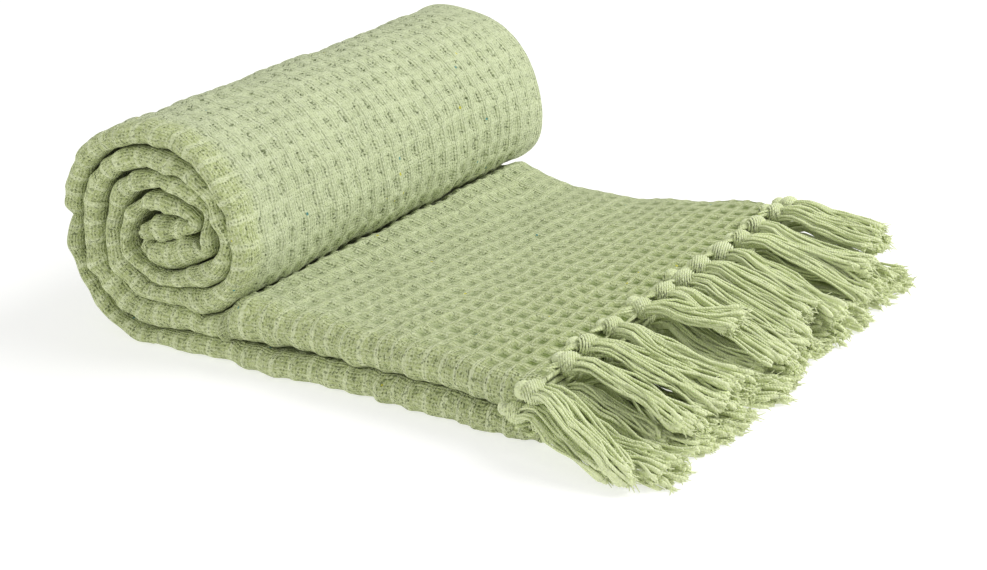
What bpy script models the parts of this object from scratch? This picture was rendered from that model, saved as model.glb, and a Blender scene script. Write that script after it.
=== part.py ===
"""Throw blanket in waffle cloth with a knotted fringe, folded and rolled.

The cloth is folded twice along its length into a band of four layers, doubled end to end, and
rolled up from that crosswise fold. A flat run is left in front of the roll, with the fringes of
both cut ends at its edge. The band is one solid: the section of its four layers is carried along
the winding. Each fringe is a narrow strip with its knotted locks.

Working frame: X along the flat run, Y along the roll's axis, Z up, the floor at Z = 0 and the
roll's axis at X = 0. At the end everything moves so that the origin is the middle of the
footprint. Unit: metres; the tables are in millimetres.
"""
import math
from collections import namedtuple

import bmesh
import bpy
import numpy as np

MM = 0.001

# The band of four layers
FOLDED_WIDTH = 0.320        # across the band, fold to open edges
CLOTH_THICKNESS = 0.0034    # one layer of waffle cloth where it lies loose
LAYER_GAP = 0.0004          # least air between two layers
OUTER_FOLD_SEGMENTS = 4     # facets of the fold that wraps the band's near edge
INNER_FOLD_SEGMENTS = 3     # facets of the folds inside the band

# The roll
ROLL_AXIS_HEIGHT = 0.065
TURN_STEPS = 20             # sections in one turn
EDGE_WAVE = 0.0014          # how far the folded edges wander sideways
WAVE_RATE = 0.9             # of that wave, in radians a section
RIPPLE_RATE = 2.3           # of the smaller ripple on it
RIPPLE_SHARE = 0.6
CORE_RECESS = 0.004         # the innermost turns sit back from the roll's near end
BAND_GAP = 0.0006           # between the outer and the inner band

# The flat run's open edges, which lie lower and further in beside the roll than at the fringe
OPEN_EDGE_INSET = 0.018
OPEN_EDGE_THINNING = 0.33   # as a share of the height
INSET_ALONG = (0.020, 0.062, 0.150, 0.246)
INSET_SHARE = (0.0, 1.0, 1.0, 0.12)

# The fringe
STRIP_DEPTH = 0.003
STRIP_INSET = 0.004         # the strip is shorter than the folded width at each end
STRIP_RIM = 0.0007          # the strip stands this far above and below its knots
CLEARANCE = 0.0003          # between the cloth's cut end and the strip
TASSELS_ACROSS = 13
KNOT_LENGTH = 0.011
KNOT_WIDTH = 0.0125
KNOT_BULGE_AT = 0.45        # share of the knot's length where it is fullest
KNOT_NECK = 0.72            # depth of a knot at its root, as a share of its full depth
ROOT_WIDTH = 0.0090
LOCK_SEGMENTS = 4
LOCK_PARTING = 0.0012       # between the two locks of a tassel at the knot
LOCK_WIDTH = 0.0102         # one lock at its tip would fill this pitch
LOCK_START_SHARE = 0.55     # how much of that pitch the locks take at the knot
LOCK_FILL = 0.40            # how much more of it each lock takes towards its tip
LOCK_SPREAD = 0.55          # how much further the locks drift apart towards their tips
TIP_DEPTH = 0.8             # depth of a lock's tip, as a share of its full depth
FAN = 0.05                  # tassels away from the middle lean outwards by this share
LENGTH_UNEVENNESS = 0.006
LEAN_UNEVENNESS = 0.0009

# Radii of the winding about the roll's axis. The turn counts from straight down, first towards
# -X. The outer band comes from the lower cut end, the inner band goes to the upper one.
WINDING_COLUMNS = ("turn", "outer_outside", "outer_inside", "inner_outside", "inner_inside")
WINDING = (
    (0.0000, 65.0, 55.4, 54.8, 39.8),
    (0.1250, 69.7, 60.0, 59.3, 41.6),
    (0.2500, 69.5, 55.0, 54.3, 40.0),
    (0.3750, 65.4, 53.6, 52.9, 39.7),
    (0.5000, 65.6, 52.8, 52.1, 39.9),
    (0.6250, 65.5, 56.0, 55.3, 45.3),
    (0.7500, 66.0, 55.5, 54.8, 44.8),
    (0.7917, 65.2, 52.2, 51.5, 34.8),
    (0.8333, 60.6, 44.6, 43.9, 27.4),
    (0.8750, 53.2, 35.0, 34.3, 22.8),
    (0.9167, 44.2, 31.0, 30.3, 21.5),
    (0.9583, 40.1, 29.1, 28.4, 20.9),
    (1.0000, 39.2, 28.8, 28.1, 20.9),
    (1.1250, 40.9, 27.0, 26.1, 21.0),
    (1.2500, 39.3, 25.4, 24.2, 17.0),
    (1.3750, 39.0, 24.8, 24.0, 13.4),
    (1.5000, 39.2, 27.7, 26.9, 16.0),
    (1.6250, 44.6, 34.2, 0.0, 0.0),
    (1.6667, 44.4, 35.8, 0.0, 0.0),
    (1.7500, 41.6, 31.4, 0.0, 0.0),
)
OUTER_BAND_TURNS = 1.75
INNER_BAND_TURNS = 1.50

# Sections of the core, from the outer band's last turn to the crosswise fold and back: the middle
# of the band from the roll's axis, the way it runs, and its thickness.
CoreSection = namedtuple("CoreSection", "across up heading_deg thickness")
CORE = (
    CoreSection(31.8, -2.6, -128.0, 10.4),
    CoreSection(22.0, -5.2, -157.0, 15.0),
    CoreSection(9.5, -10.6, -163.0, 15.0),
    CoreSection(-2.5, -12.0, 180.0, 15.0),
    CoreSection(-10.0, -10.4, 135.0, 10.8),
    CoreSection(-11.6, -4.2, 95.0, 8.4),
    CoreSection(-8.8, 2.0, 50.0, 9.2),
    CoreSection(1.5, 4.6, 12.0, 16.4),
    CoreSection(13.5, 6.4, 8.0, 13.0),
    CoreSection(21.8, 9.1, 0.0, 8.4),
)
FOLD_PIVOT = (21.8, 13.9)   # the crosswise fold turns about this point, across and up
FOLD_THICKNESS = 8.4
FOLD_STEPS = 4
AFTER_FOLD = CoreSection(11.5, 20.9, 186.0, 9.4)

# The flat run: top of the lower band and top of the upper band along X
FlatSection = namedtuple("FlatSection", "along lower_top upper_top")
FLAT = (
    FlatSection(20.0, 11.2, 25.4),
    FlatSection(38.0, 12.8, 26.8),
    FlatSection(50.0, 13.6, 32.6),
    FlatSection(61.0, 14.3, 38.4),
    FlatSection(90.0, 15.4, 39.0),
    FlatSection(130.0, 17.0, 39.0),
    FlatSection(175.0, 18.0, 39.0),
    FlatSection(215.0, 17.4, 38.6),
    FlatSection(246.0, 15.6, 37.5),
)

# Tiers of the fringe, lowest first: the height of the roots, the height at which the locks lie,
# the run over which they come down to it, how far along X their tips reach, and the depth of knot
# and lock.
Tier = namedtuple("Tier", "strip root_height lying_height fall_run reach knot_depth lock_depth")
TIERS = (
    Tier("fringe_lower", 4.1, 2.1, 26.0, 334.0, 6.0, 4.2),
    Tier("fringe_lower", 11.3, 6.8, 34.0, 328.0, 6.0, 4.0),
    Tier("fringe_upper", 21.6, 11.6, 44.0, 311.0, 8.0, 3.8),
    Tier("fringe_upper", 31.8, 16.2, 52.0, 303.0, 8.6, 4.0),
)

# Colours, linear
WAFFLE_GREEN = (0.46, 0.53, 0.27)
YARN_GREEN = (0.42, 0.48, 0.22)
COTTON_ROUGHNESS = 0.95


def winding(turn, column):
    """A radius of the winding in metres at a turn, read between the table's rows."""
    turns = [row[0] for row in WINDING]
    radii = [row[WINDING_COLUMNS.index(column)] for row in WINDING]
    return float(np.interp(turn, turns, radii)) * MM


def roll_section(turn, band):
    """Section of one band on a spoke of the roll: middle, port side direction, thickness."""
    outside, inside = winding(turn, band + "_outside"), winding(turn, band + "_inside")
    angle = 2 * math.pi * turn
    spoke = np.array([-math.sin(angle), -math.cos(angle)])
    middle = np.array([0.0, ROLL_AXIS_HEIGHT]) + spoke * (outside + inside) / 2
    return middle, spoke if band == "outer" else -spoke, outside - inside


def core_section(row):
    """Section of the core from a row of its table."""
    heading = math.radians(row.heading_deg)
    middle = np.array([row.across * MM, ROLL_AXIS_HEIGHT + row.up * MM])
    return middle, np.array([-math.sin(heading), math.cos(heading)]), row.thickness * MM


def fold_sections():
    """Sections that turn half round the crosswise fold's pivot."""
    pivot = np.array([FOLD_PIVOT[0] * MM, ROLL_AXIS_HEIGHT + FOLD_PIVOT[1] * MM])
    arm = FOLD_THICKNESS * MM / 2 + BAND_GAP
    for step in range(1, FOLD_STEPS + 1):
        heading = math.pi * step / FOLD_STEPS
        port = np.array([-math.sin(heading), math.cos(heading)])
        yield pivot - port * arm, port, FOLD_THICKNESS * MM


def flat_section(row, band):
    """Section of one band of the flat run, which stands upright."""
    if band == "outer":
        low, high, port = 0.0, row.lower_top * MM, -1.0
    else:
        low, high, port = row.lower_top * MM + BAND_GAP, row.upper_top * MM, 1.0
    return np.array([row.along * MM, (low + high) / 2]), np.array([0.0, port]), high - low


def band_sections():
    """All sections from the lower cut end, round the roll and its core, to the upper cut end.

    Each is (middle in XZ, unit vector to the band's port side, thickness, near edge recess).
    """
    outer_steps = round(OUTER_BAND_TURNS * TURN_STEPS)
    inner_steps = round(INNER_BAND_TURNS * TURN_STEPS)
    sections = [flat_section(row, "outer") + (0.0,) for row in reversed(FLAT)]
    for step in range(outer_steps + 1):
        recess = CORE_RECESS * max(0.0, step / outer_steps - 0.5)
        sections.append(roll_section(step / TURN_STEPS, "outer") + (recess,))
    core = [core_section(row) for row in CORE]
    core += fold_sections()
    core.append(core_section(AFTER_FOLD))
    sections += [section + (CORE_RECESS,) for section in core]
    for step in range(inner_steps, -1, -1):
        recess = CORE_RECESS * max(0.0, step / inner_steps - 0.4)
        sections.append(roll_section(step / TURN_STEPS, "inner") + (recess,))
    sections += [flat_section(row, "inner") + (0.0,) for row in FLAT]
    return sections


def arc(centre, radius, start_deg, end_deg, segments):
    """Points strictly inside an arc, with the direction away from its centre."""
    for step in range(1, segments):
        angle = math.radians(start_deg + (end_deg - start_deg) * step / segments)
        direction = np.array([math.cos(angle), math.sin(angle)])
        yield np.array(centre) + direction * radius, direction


def layer_line(thickness):
    """Middle line of the folded cloth in the band's section, and its layer thickness.

    The line starts at an open edge in the port layer, wraps the whole band at the near fold,
    comes back at the starboard side, folds at the far side, folds again inside the near fold,
    and ends at the other open edge. Each point has the direction square to the line.
    """
    layer = min(CLOTH_THICKNESS, (thickness - 3 * LAYER_GAP) / 4)
    pitch = layer + (thickness - 4 * layer) / 3
    half = FOLDED_WIDTH / 2
    near = -half + thickness / 2
    far_fold = half - pitch
    port, inner_port, inner_starboard, starboard = (pitch * k for k in (1.5, 0.5, -0.5, -1.5))
    up, down = np.array([0.0, 1.0]), np.array([0.0, -1.0])
    line = [(np.array([half, port]), up), (np.array([near, port]), up)]
    line += arc((near, 0), 1.5 * pitch, 90, 270, OUTER_FOLD_SEGMENTS)
    line += [(np.array([near, starboard]), down), (np.array([far_fold, starboard]), down)]
    line += arc((far_fold, -pitch), 0.5 * pitch, -90, 90, INNER_FOLD_SEGMENTS)
    line += [(np.array([far_fold, inner_starboard]), up), (np.array([near, inner_starboard]), up)]
    line += [(point, -direction) for point, direction
             in arc((near, 0), 0.5 * pitch, 270, 90, INNER_FOLD_SEGMENTS)]
    line += [(np.array([near, inner_port]), down), (np.array([half, inner_port]), down)]
    return line, layer


def settle(x, y, z):
    """Lays the flat run: thinner and narrower towards its open edges, most beside the roll."""
    share = float(np.interp(x, INSET_ALONG, INSET_SHARE))
    out = y / FOLDED_WIDTH + 0.5
    return y - OPEN_EDGE_INSET * share * out ** 2, z * (1 - OPEN_EDGE_THINNING * share * out)


def cloth_mesh():
    """The band's section carried along all its stations, closed at the two cut ends."""
    mesh = bmesh.new()
    rings = []
    for index, (middle, port, thickness, recess) in enumerate(band_sections()):
        line, layer = layer_line(thickness)
        wander = EDGE_WAVE * (math.sin(index * WAVE_RATE)
                              + RIPPLE_SHARE * math.sin(index * RIPPLE_RATE + 1))
        sides = []
        for offset in (layer / 2, -layer / 2):
            ring = []
            for point, square in line:
                across, height = point + square * offset
                out = across / FOLDED_WIDTH + 0.5
                across += (wander + recess) * (1 - out)
                x, z = middle + port * height
                if x > 0 and port[0] == 0:
                    across, z = settle(x, across, z)
                ring.append(mesh.verts.new((x, across, z)))
            sides.append(ring)
        rings.append(sides)
    for (left, right), (next_left, next_right) in zip(rings, rings[1:]):
        loop, next_loop = left + right[::-1], next_left + next_right[::-1]
        for k in range(len(loop)):
            after = (k + 1) % len(loop)
            mesh.faces.new((loop[k], loop[after], next_loop[after], next_loop[k]))
    for left, right in (rings[0], rings[-1]):
        for k in range(len(left) - 1):
            mesh.faces.new((left[k], left[k + 1], right[k + 1], right[k]))
    bmesh.ops.recalc_face_normals(mesh, faces=mesh.faces)
    return mesh


def uneven(seed, amount):
    """A fixed value between -amount and amount, different for each seed."""
    return amount * math.sin(12.9898 * seed + 4.1)


def bridge(mesh, ring, next_ring):
    """Quads between two rings of four corners."""
    for k in range(4):
        after = (k + 1) % 4
        mesh.faces.new((ring[k], ring[after], next_ring[after], next_ring[k]))


def rectangle(mesh, x, y_low, y_high, z_low, z_high):
    """Four corners of an upright rectangle: low near, low far, high far, high near."""
    return [mesh.verts.new((x, y, z)) for y, z in
            ((y_low, z_low), (y_high, z_low), (y_high, z_high), (y_low, z_high))]


def grow_tassel(mesh, root, tier, tassel):
    """A knot and two parted locks, grown out of a root rectangle of the strip's face."""
    x_root = root[0].co.x
    y_root = (root[0].co.y + root[1].co.y) / 2
    z_root = (root[0].co.z + root[3].co.z) / 2
    seed = tassel + 17 * tier.root_height
    half_knot, half_depth = tier.knot_depth * MM / 2, tier.lock_depth * MM / 2
    bulge = rectangle(mesh, x_root + KNOT_LENGTH * KNOT_BULGE_AT,
                      y_root - KNOT_WIDTH / 2, y_root + KNOT_WIDTH / 2,
                      z_root - half_knot, z_root + half_knot)
    bridge(mesh, root, bulge)
    x_knot = x_root + KNOT_LENGTH
    lows, highs = [], []
    for y in (-ROOT_WIDTH / 2, -LOCK_PARTING / 2, LOCK_PARTING / 2, ROOT_WIDTH / 2):
        lows.append(mesh.verts.new((x_knot, y_root + y, z_root - half_depth)))
        highs.append(mesh.verts.new((x_knot, y_root + y, z_root + half_depth)))
    mesh.faces.new((bulge[0], bulge[1], *reversed(lows)))
    mesh.faces.new((bulge[2], bulge[3], *highs))
    mesh.faces.new((bulge[1], bulge[2], highs[3], lows[3]))
    mesh.faces.new((bulge[3], bulge[0], lows[0], highs[0]))
    mesh.faces.new((lows[1], lows[2], highs[2], highs[1]))
    lean = FAN * y_root + uneven(seed * 1.7, LEAN_UNEVENNESS)
    for side, first in ((-1, 0), (1, 2)):
        ring = [lows[first], lows[first + 1], highs[first + 1], highs[first]]
        length = tier.reach * MM + uneven(seed + side, LENGTH_UNEVENNESS) - x_knot
        for step in range(1, LOCK_SEGMENTS + 1):
            share = step / LOCK_SEGMENTS
            fall = min(1.0, length * share / (tier.fall_run * MM))
            fall = fall * fall * (3 - 2 * fall)
            z = z_root + (tier.lying_height * MM - z_root) * fall
            apart = LOCK_WIDTH / 2 * (LOCK_START_SHARE + LOCK_SPREAD * share) + LOCK_PARTING / 2
            half_width = LOCK_WIDTH / 2 * (LOCK_START_SHARE + LOCK_FILL * share)
            y = y_root + lean * share + side * apart
            top = half_depth if step < LOCK_SEGMENTS else half_depth * (2 * TIP_DEPTH - 1)
            next_ring = rectangle(mesh, x_knot + length * share, y - half_width, y + half_width,
                                  z - half_depth, z + top)
            bridge(mesh, ring, next_ring)
            ring = next_ring
        mesh.faces.new(ring)


def fringe_mesh(strip):
    """A strip along one cut end, with the roots of its tiers of tassels in its front face."""
    tiers = [tier for tier in TIERS if tier.strip == strip]
    x_back = FLAT[-1].along * MM + CLEARANCE
    x_front = x_back + STRIP_DEPTH
    y_edge = FOLDED_WIDTH / 2 - STRIP_INSET
    pitch = 2 * y_edge / TASSELS_ACROSS
    y_lines, z_lines = [-y_edge], []
    for tassel in range(TASSELS_ACROSS):
        middle = -y_edge + pitch * (tassel + 0.5)
        y_lines += [middle - ROOT_WIDTH / 2, middle + ROOT_WIDTH / 2]
    y_lines.append(y_edge)
    for tier in tiers:
        half_neck = tier.knot_depth * MM / 2 * KNOT_NECK
        z_lines += [tier.root_height * MM - half_neck, tier.root_height * MM + half_neck]
    z_lines.insert(0, (tiers[0].root_height - tiers[0].knot_depth / 2) * MM - STRIP_RIM)
    z_lines.append((tiers[-1].root_height + tiers[-1].knot_depth / 2) * MM + STRIP_RIM)
    mesh = bmesh.new()
    front = [[mesh.verts.new((x_front, y, z)) for z in z_lines] for y in y_lines]
    back = rectangle(mesh, x_back, y_lines[0], y_lines[-1], z_lines[0], z_lines[-1])
    last_y, last_z = len(y_lines) - 1, len(z_lines) - 1
    for i in range(last_y):
        for k in range(last_z):
            corners = [front[i][k], front[i + 1][k], front[i + 1][k + 1], front[i][k + 1]]
            if i % 2 == 1 and k % 2 == 1:
                grow_tassel(mesh, corners, tiers[k // 2], i // 2)
            else:
                mesh.faces.new(corners)
    mesh.faces.new(back)
    mesh.faces.new((back[0], back[1], *(front[i][0] for i in range(last_y, -1, -1))))
    mesh.faces.new((back[2], back[3], *(front[i][last_z] for i in range(last_y + 1))))
    mesh.faces.new((back[1], back[2], *(front[last_y][k] for k in range(last_z, -1, -1))))
    mesh.faces.new((back[3], back[0], *(front[0][k] for k in range(last_z + 1))))
    bmesh.ops.recalc_face_normals(mesh, faces=mesh.faces)
    return mesh


def cotton(name, colour):
    """A plain matt cotton material."""
    made = bpy.data.materials.new(name)
    made.use_nodes = True
    shader = made.node_tree.nodes["Principled BSDF"]
    shader.inputs["Base Color"].default_value = (*colour, 1)
    shader.inputs["Roughness"].default_value = COTTON_ROUGHNESS
    shader.inputs["Metallic"].default_value = 0.0
    return made


def add(name, mesh, finish):
    """Turns a mesh under construction into a named object."""
    data = bpy.data.meshes.new(name)
    mesh.to_mesh(data)
    mesh.free()
    data.materials.append(finish)
    piece = bpy.data.objects.new(name, data)
    bpy.context.scene.collection.objects.link(piece)
    return piece


def centre_footprint(pieces):
    """Moves the meshes so that the middle of the footprint is the origin."""
    corners = np.array([vertex.co[:] for piece in pieces for vertex in piece.data.vertices])
    low, high = corners.min(axis=0), corners.max(axis=0)
    for piece in pieces:
        for vertex in piece.data.vertices:
            vertex.co.x -= (low[0] + high[0]) / 2
            vertex.co.y -= (low[1] + high[1]) / 2
            vertex.co.z -= low[2]


def main():
    for old in list(bpy.data.objects):
        bpy.data.objects.remove(old, do_unlink=True)
    pieces = [add("throw_cloth", cloth_mesh(), cotton("waffle_cotton", WAFFLE_GREEN))]
    yarn = cotton("fringe_yarn", YARN_GREEN)
    for strip in ("fringe_lower", "fringe_upper"):
        pieces.append(add(strip, fringe_mesh(strip), yarn))
    centre_footprint(pieces)


main()
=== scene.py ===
"""Throw blanket in waffle cotton with a knotted fringe, folded, doubled and rolled.

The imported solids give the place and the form. This script dresses them: the cloth is the same
band of four layers, carried along the same winding, with its waffle relief, and each tassel of
the fringe is made of its own yarns. Two coordinates run over the cloth: "across" counts from the
near fold towards the open edges, and "along" from the lower cut end, round the roll and its core,
to the upper cut end. Unit: metres; tables are in millimetres.
"""

import logging
import math
from dataclasses import dataclass, field, fields, replace
from enum import Enum

import bpy
import numpy as np
from mathutils import Matrix, Vector


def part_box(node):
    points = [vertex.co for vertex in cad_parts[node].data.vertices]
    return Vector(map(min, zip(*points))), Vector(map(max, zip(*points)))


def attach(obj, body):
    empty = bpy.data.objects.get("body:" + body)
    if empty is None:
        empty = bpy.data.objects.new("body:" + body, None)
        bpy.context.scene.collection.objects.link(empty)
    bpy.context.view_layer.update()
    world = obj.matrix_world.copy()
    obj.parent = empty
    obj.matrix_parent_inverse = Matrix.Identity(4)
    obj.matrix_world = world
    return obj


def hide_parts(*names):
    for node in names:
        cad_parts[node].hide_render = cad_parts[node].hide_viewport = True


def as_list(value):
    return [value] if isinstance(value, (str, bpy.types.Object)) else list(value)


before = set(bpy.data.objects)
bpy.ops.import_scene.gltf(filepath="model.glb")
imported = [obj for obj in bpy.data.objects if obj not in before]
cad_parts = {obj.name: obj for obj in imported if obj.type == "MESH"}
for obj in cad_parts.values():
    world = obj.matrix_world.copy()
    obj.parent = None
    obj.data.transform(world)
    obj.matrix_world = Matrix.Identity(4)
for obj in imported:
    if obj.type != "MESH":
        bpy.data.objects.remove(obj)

LOG = logging.getLogger("throw")

MM = 0.001
IMAGE_WIDTH = 987
# where the cut ends lie in the winding's own frame, and how far the fringe starts before its strip
CLOTH_END = 0.2463
SEAM = 0.0005
# the share from which a direction counts as straight up or down
LEVEL = 0.999
YARN_RADIUS = 0.00085
YARN_CHANGE = (0.85, 1.15)

Array = np.ndarray
Range = tuple[float, float]
Socket = bpy.types.NodeSocket


class Band(Enum):
    """The two bands of the roll, and the core between them."""
    OUTER = "from the lower cut end"
    CORE = "round the crosswise fold"
    INNER = "to the upper cut end"


class Cover(Enum):
    """How much of a stretch of the band shows, which sets where its mesh is fine."""
    WHOLE_PORT_SIDE = "port side and near fold"
    NEAR_FOLD = "near fold"


def linear(colour: str) -> tuple[float, float, float, float]:
    """Turns an sRGB hex colour into linear RGBA.

    Args:
        colour: six hex digits with a leading #.

    Returns:
        Red, green, blue and alpha, each from 0 to 1.
    """
    channels = [int(colour[i:i + 2], 16) / 255 for i in (1, 3, 5)]
    return (*(c / 12.92 if c <= 0.04045 else ((c + 0.055) / 1.055) ** 2.4 for c in channels), 1.0)


@dataclass
class Nodes:
    """The nodes of one material."""
    tree: bpy.types.NodeTree

    def add(self, kind: str, *values: object, inputs: dict | None = None, output: int | str = 0,
            **settings: object) -> Socket:
        """Adds a node with its settings, input values and links.

        Args:
            kind: the node's type after "ShaderNode", or in capitals a math node's operation.
            *values: the values or sockets of its first inputs.
            inputs: those of other inputs, by name or number.
            output: which output to give.
            **settings: the node's own properties.

        Returns:
            The output.
        """
        if kind.isupper():
            kind, settings = "Math", {"operation": kind}
        node = self.tree.nodes.new("ShaderNode" + kind)
        for name, value in settings.items():
            setattr(node, name, value)
        self.feed(node, dict(enumerate(values)) | (inputs or {}))
        return node.outputs[output]

    def feed(self, node: bpy.types.Node, inputs: dict) -> None:
        """Gives a node's inputs their values and links.

        Args:
            node: the node.
            inputs: by input name or number, a value or the output socket to link.
        """
        for key, value in inputs.items():
            if isinstance(value, Socket):
                self.tree.links.new(value, node.inputs[key])
            else:
                node.inputs[key].default_value = value


def set_stops(ramp: bpy.types.ColorRamp, stops: tuple) -> None:
    """Sets a ramp's colours.

    Args:
        ramp: a new ramp with its two first stops.
        stops: pairs of a position and an sRGB hex colour, in order.
    """
    for element, (position, colour) in zip(ramp.elements, (stops[0], stops[-1])):
        element.position = position
        element.color = linear(colour)
    for position, colour in stops[1:-1]:
        ramp.elements.new(position).color = linear(colour)


def new_material(name: str) -> tuple[bpy.types.Material, Nodes]:
    """Makes a material with a Principled shader.

    Args:
        name: its name.

    Returns:
        The material and its nodes.
    """
    material = bpy.data.materials.new(name)
    material.use_nodes = True
    return material, Nodes(material.node_tree)


def smooth_step(value: Array) -> Array:
    """Zero to one with level ends: 3v² - 2v³ of the value held between 0 and 1."""
    held = np.clip(value, 0.0, 1.0)
    return held * held * (3 - 2 * held)


def curve_through(knots: Array, values: Array, at: Array) -> Array:
    """Smooth curve through rows of values.

    Between two knots it is the cubic Hermite curve whose slopes are the central differences there.

    Args:
        knots: increasing positions of the rows.
        values: one row for each knot.
        at: positions to read.

    Returns:
        One row for each position.
    """
    slopes = np.gradient(values, knots, axis=0)
    index = np.clip(np.searchsorted(knots, at) - 1, 0, len(knots) - 2)
    span = (knots[index + 1] - knots[index])[:, None]
    t = ((at - knots[index])[:, None]) / span
    square, cube = t * t, t * t * t
    return ((2 * cube - 3 * square + 1) * values[index] + (cube - 2 * square + t) * span * slopes[index]
            + (3 * square - 2 * cube) * values[index + 1] + (cube - square) * span * slopes[index + 1])


@dataclass(frozen=True)
class Unevenness:
    """A fixed smooth field over the cloth, the sum of a few plane waves in mixed directions."""
    amplitude: float
    wavelength: float
    seed: int
    waves: int = 7

    def at(self, across: Array, along: Array) -> Array:
        """Height of the field: amplitude times the mean of cosines, each of its own direction,
        phase and wavelength between 0.6 and 1.6 of the field's.

        Args:
            across: metres across the cloth.
            along: metres along the cloth, of a shape that broadcasts with across.

        Returns:
            The field's value at each point.
        """
        draw = np.random.default_rng(self.seed)
        total = np.zeros(np.broadcast(across, along).shape)
        for _ in range(self.waves):
            direction, phase = draw.uniform(0, 2 * math.pi, 2)
            rate = 2 * math.pi / (self.wavelength * draw.uniform(0.6, 1.6))
            total += np.cos(rate * (across * math.cos(direction) + along * math.sin(direction)) + phase)
        return total * self.amplitude / math.sqrt(self.waves)


@dataclass(frozen=True)
class Trough:
    """A soft trough pressed into the port side, or a ridge where its depth is below zero. The
    turn counts from straight down, or is a share of the way through the core."""
    band: Band
    turn: float
    across: float
    reach_along: float
    reach_across: float
    depth: float


@dataclass(frozen=True)
class Tuck:
    """A place where the near fold is drawn in: thinner by a share, and set back."""
    band: Band
    turn: float
    reach: float
    thinner: float
    back: float


@dataclass(frozen=True)
class Station:
    """A section of the band: where its middle is in XZ, which way its port side faces, its
    thickness, and how far its near fold sits back."""
    x: float
    z: float
    port_x: float
    port_z: float
    thickness: float
    setback: float


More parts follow.
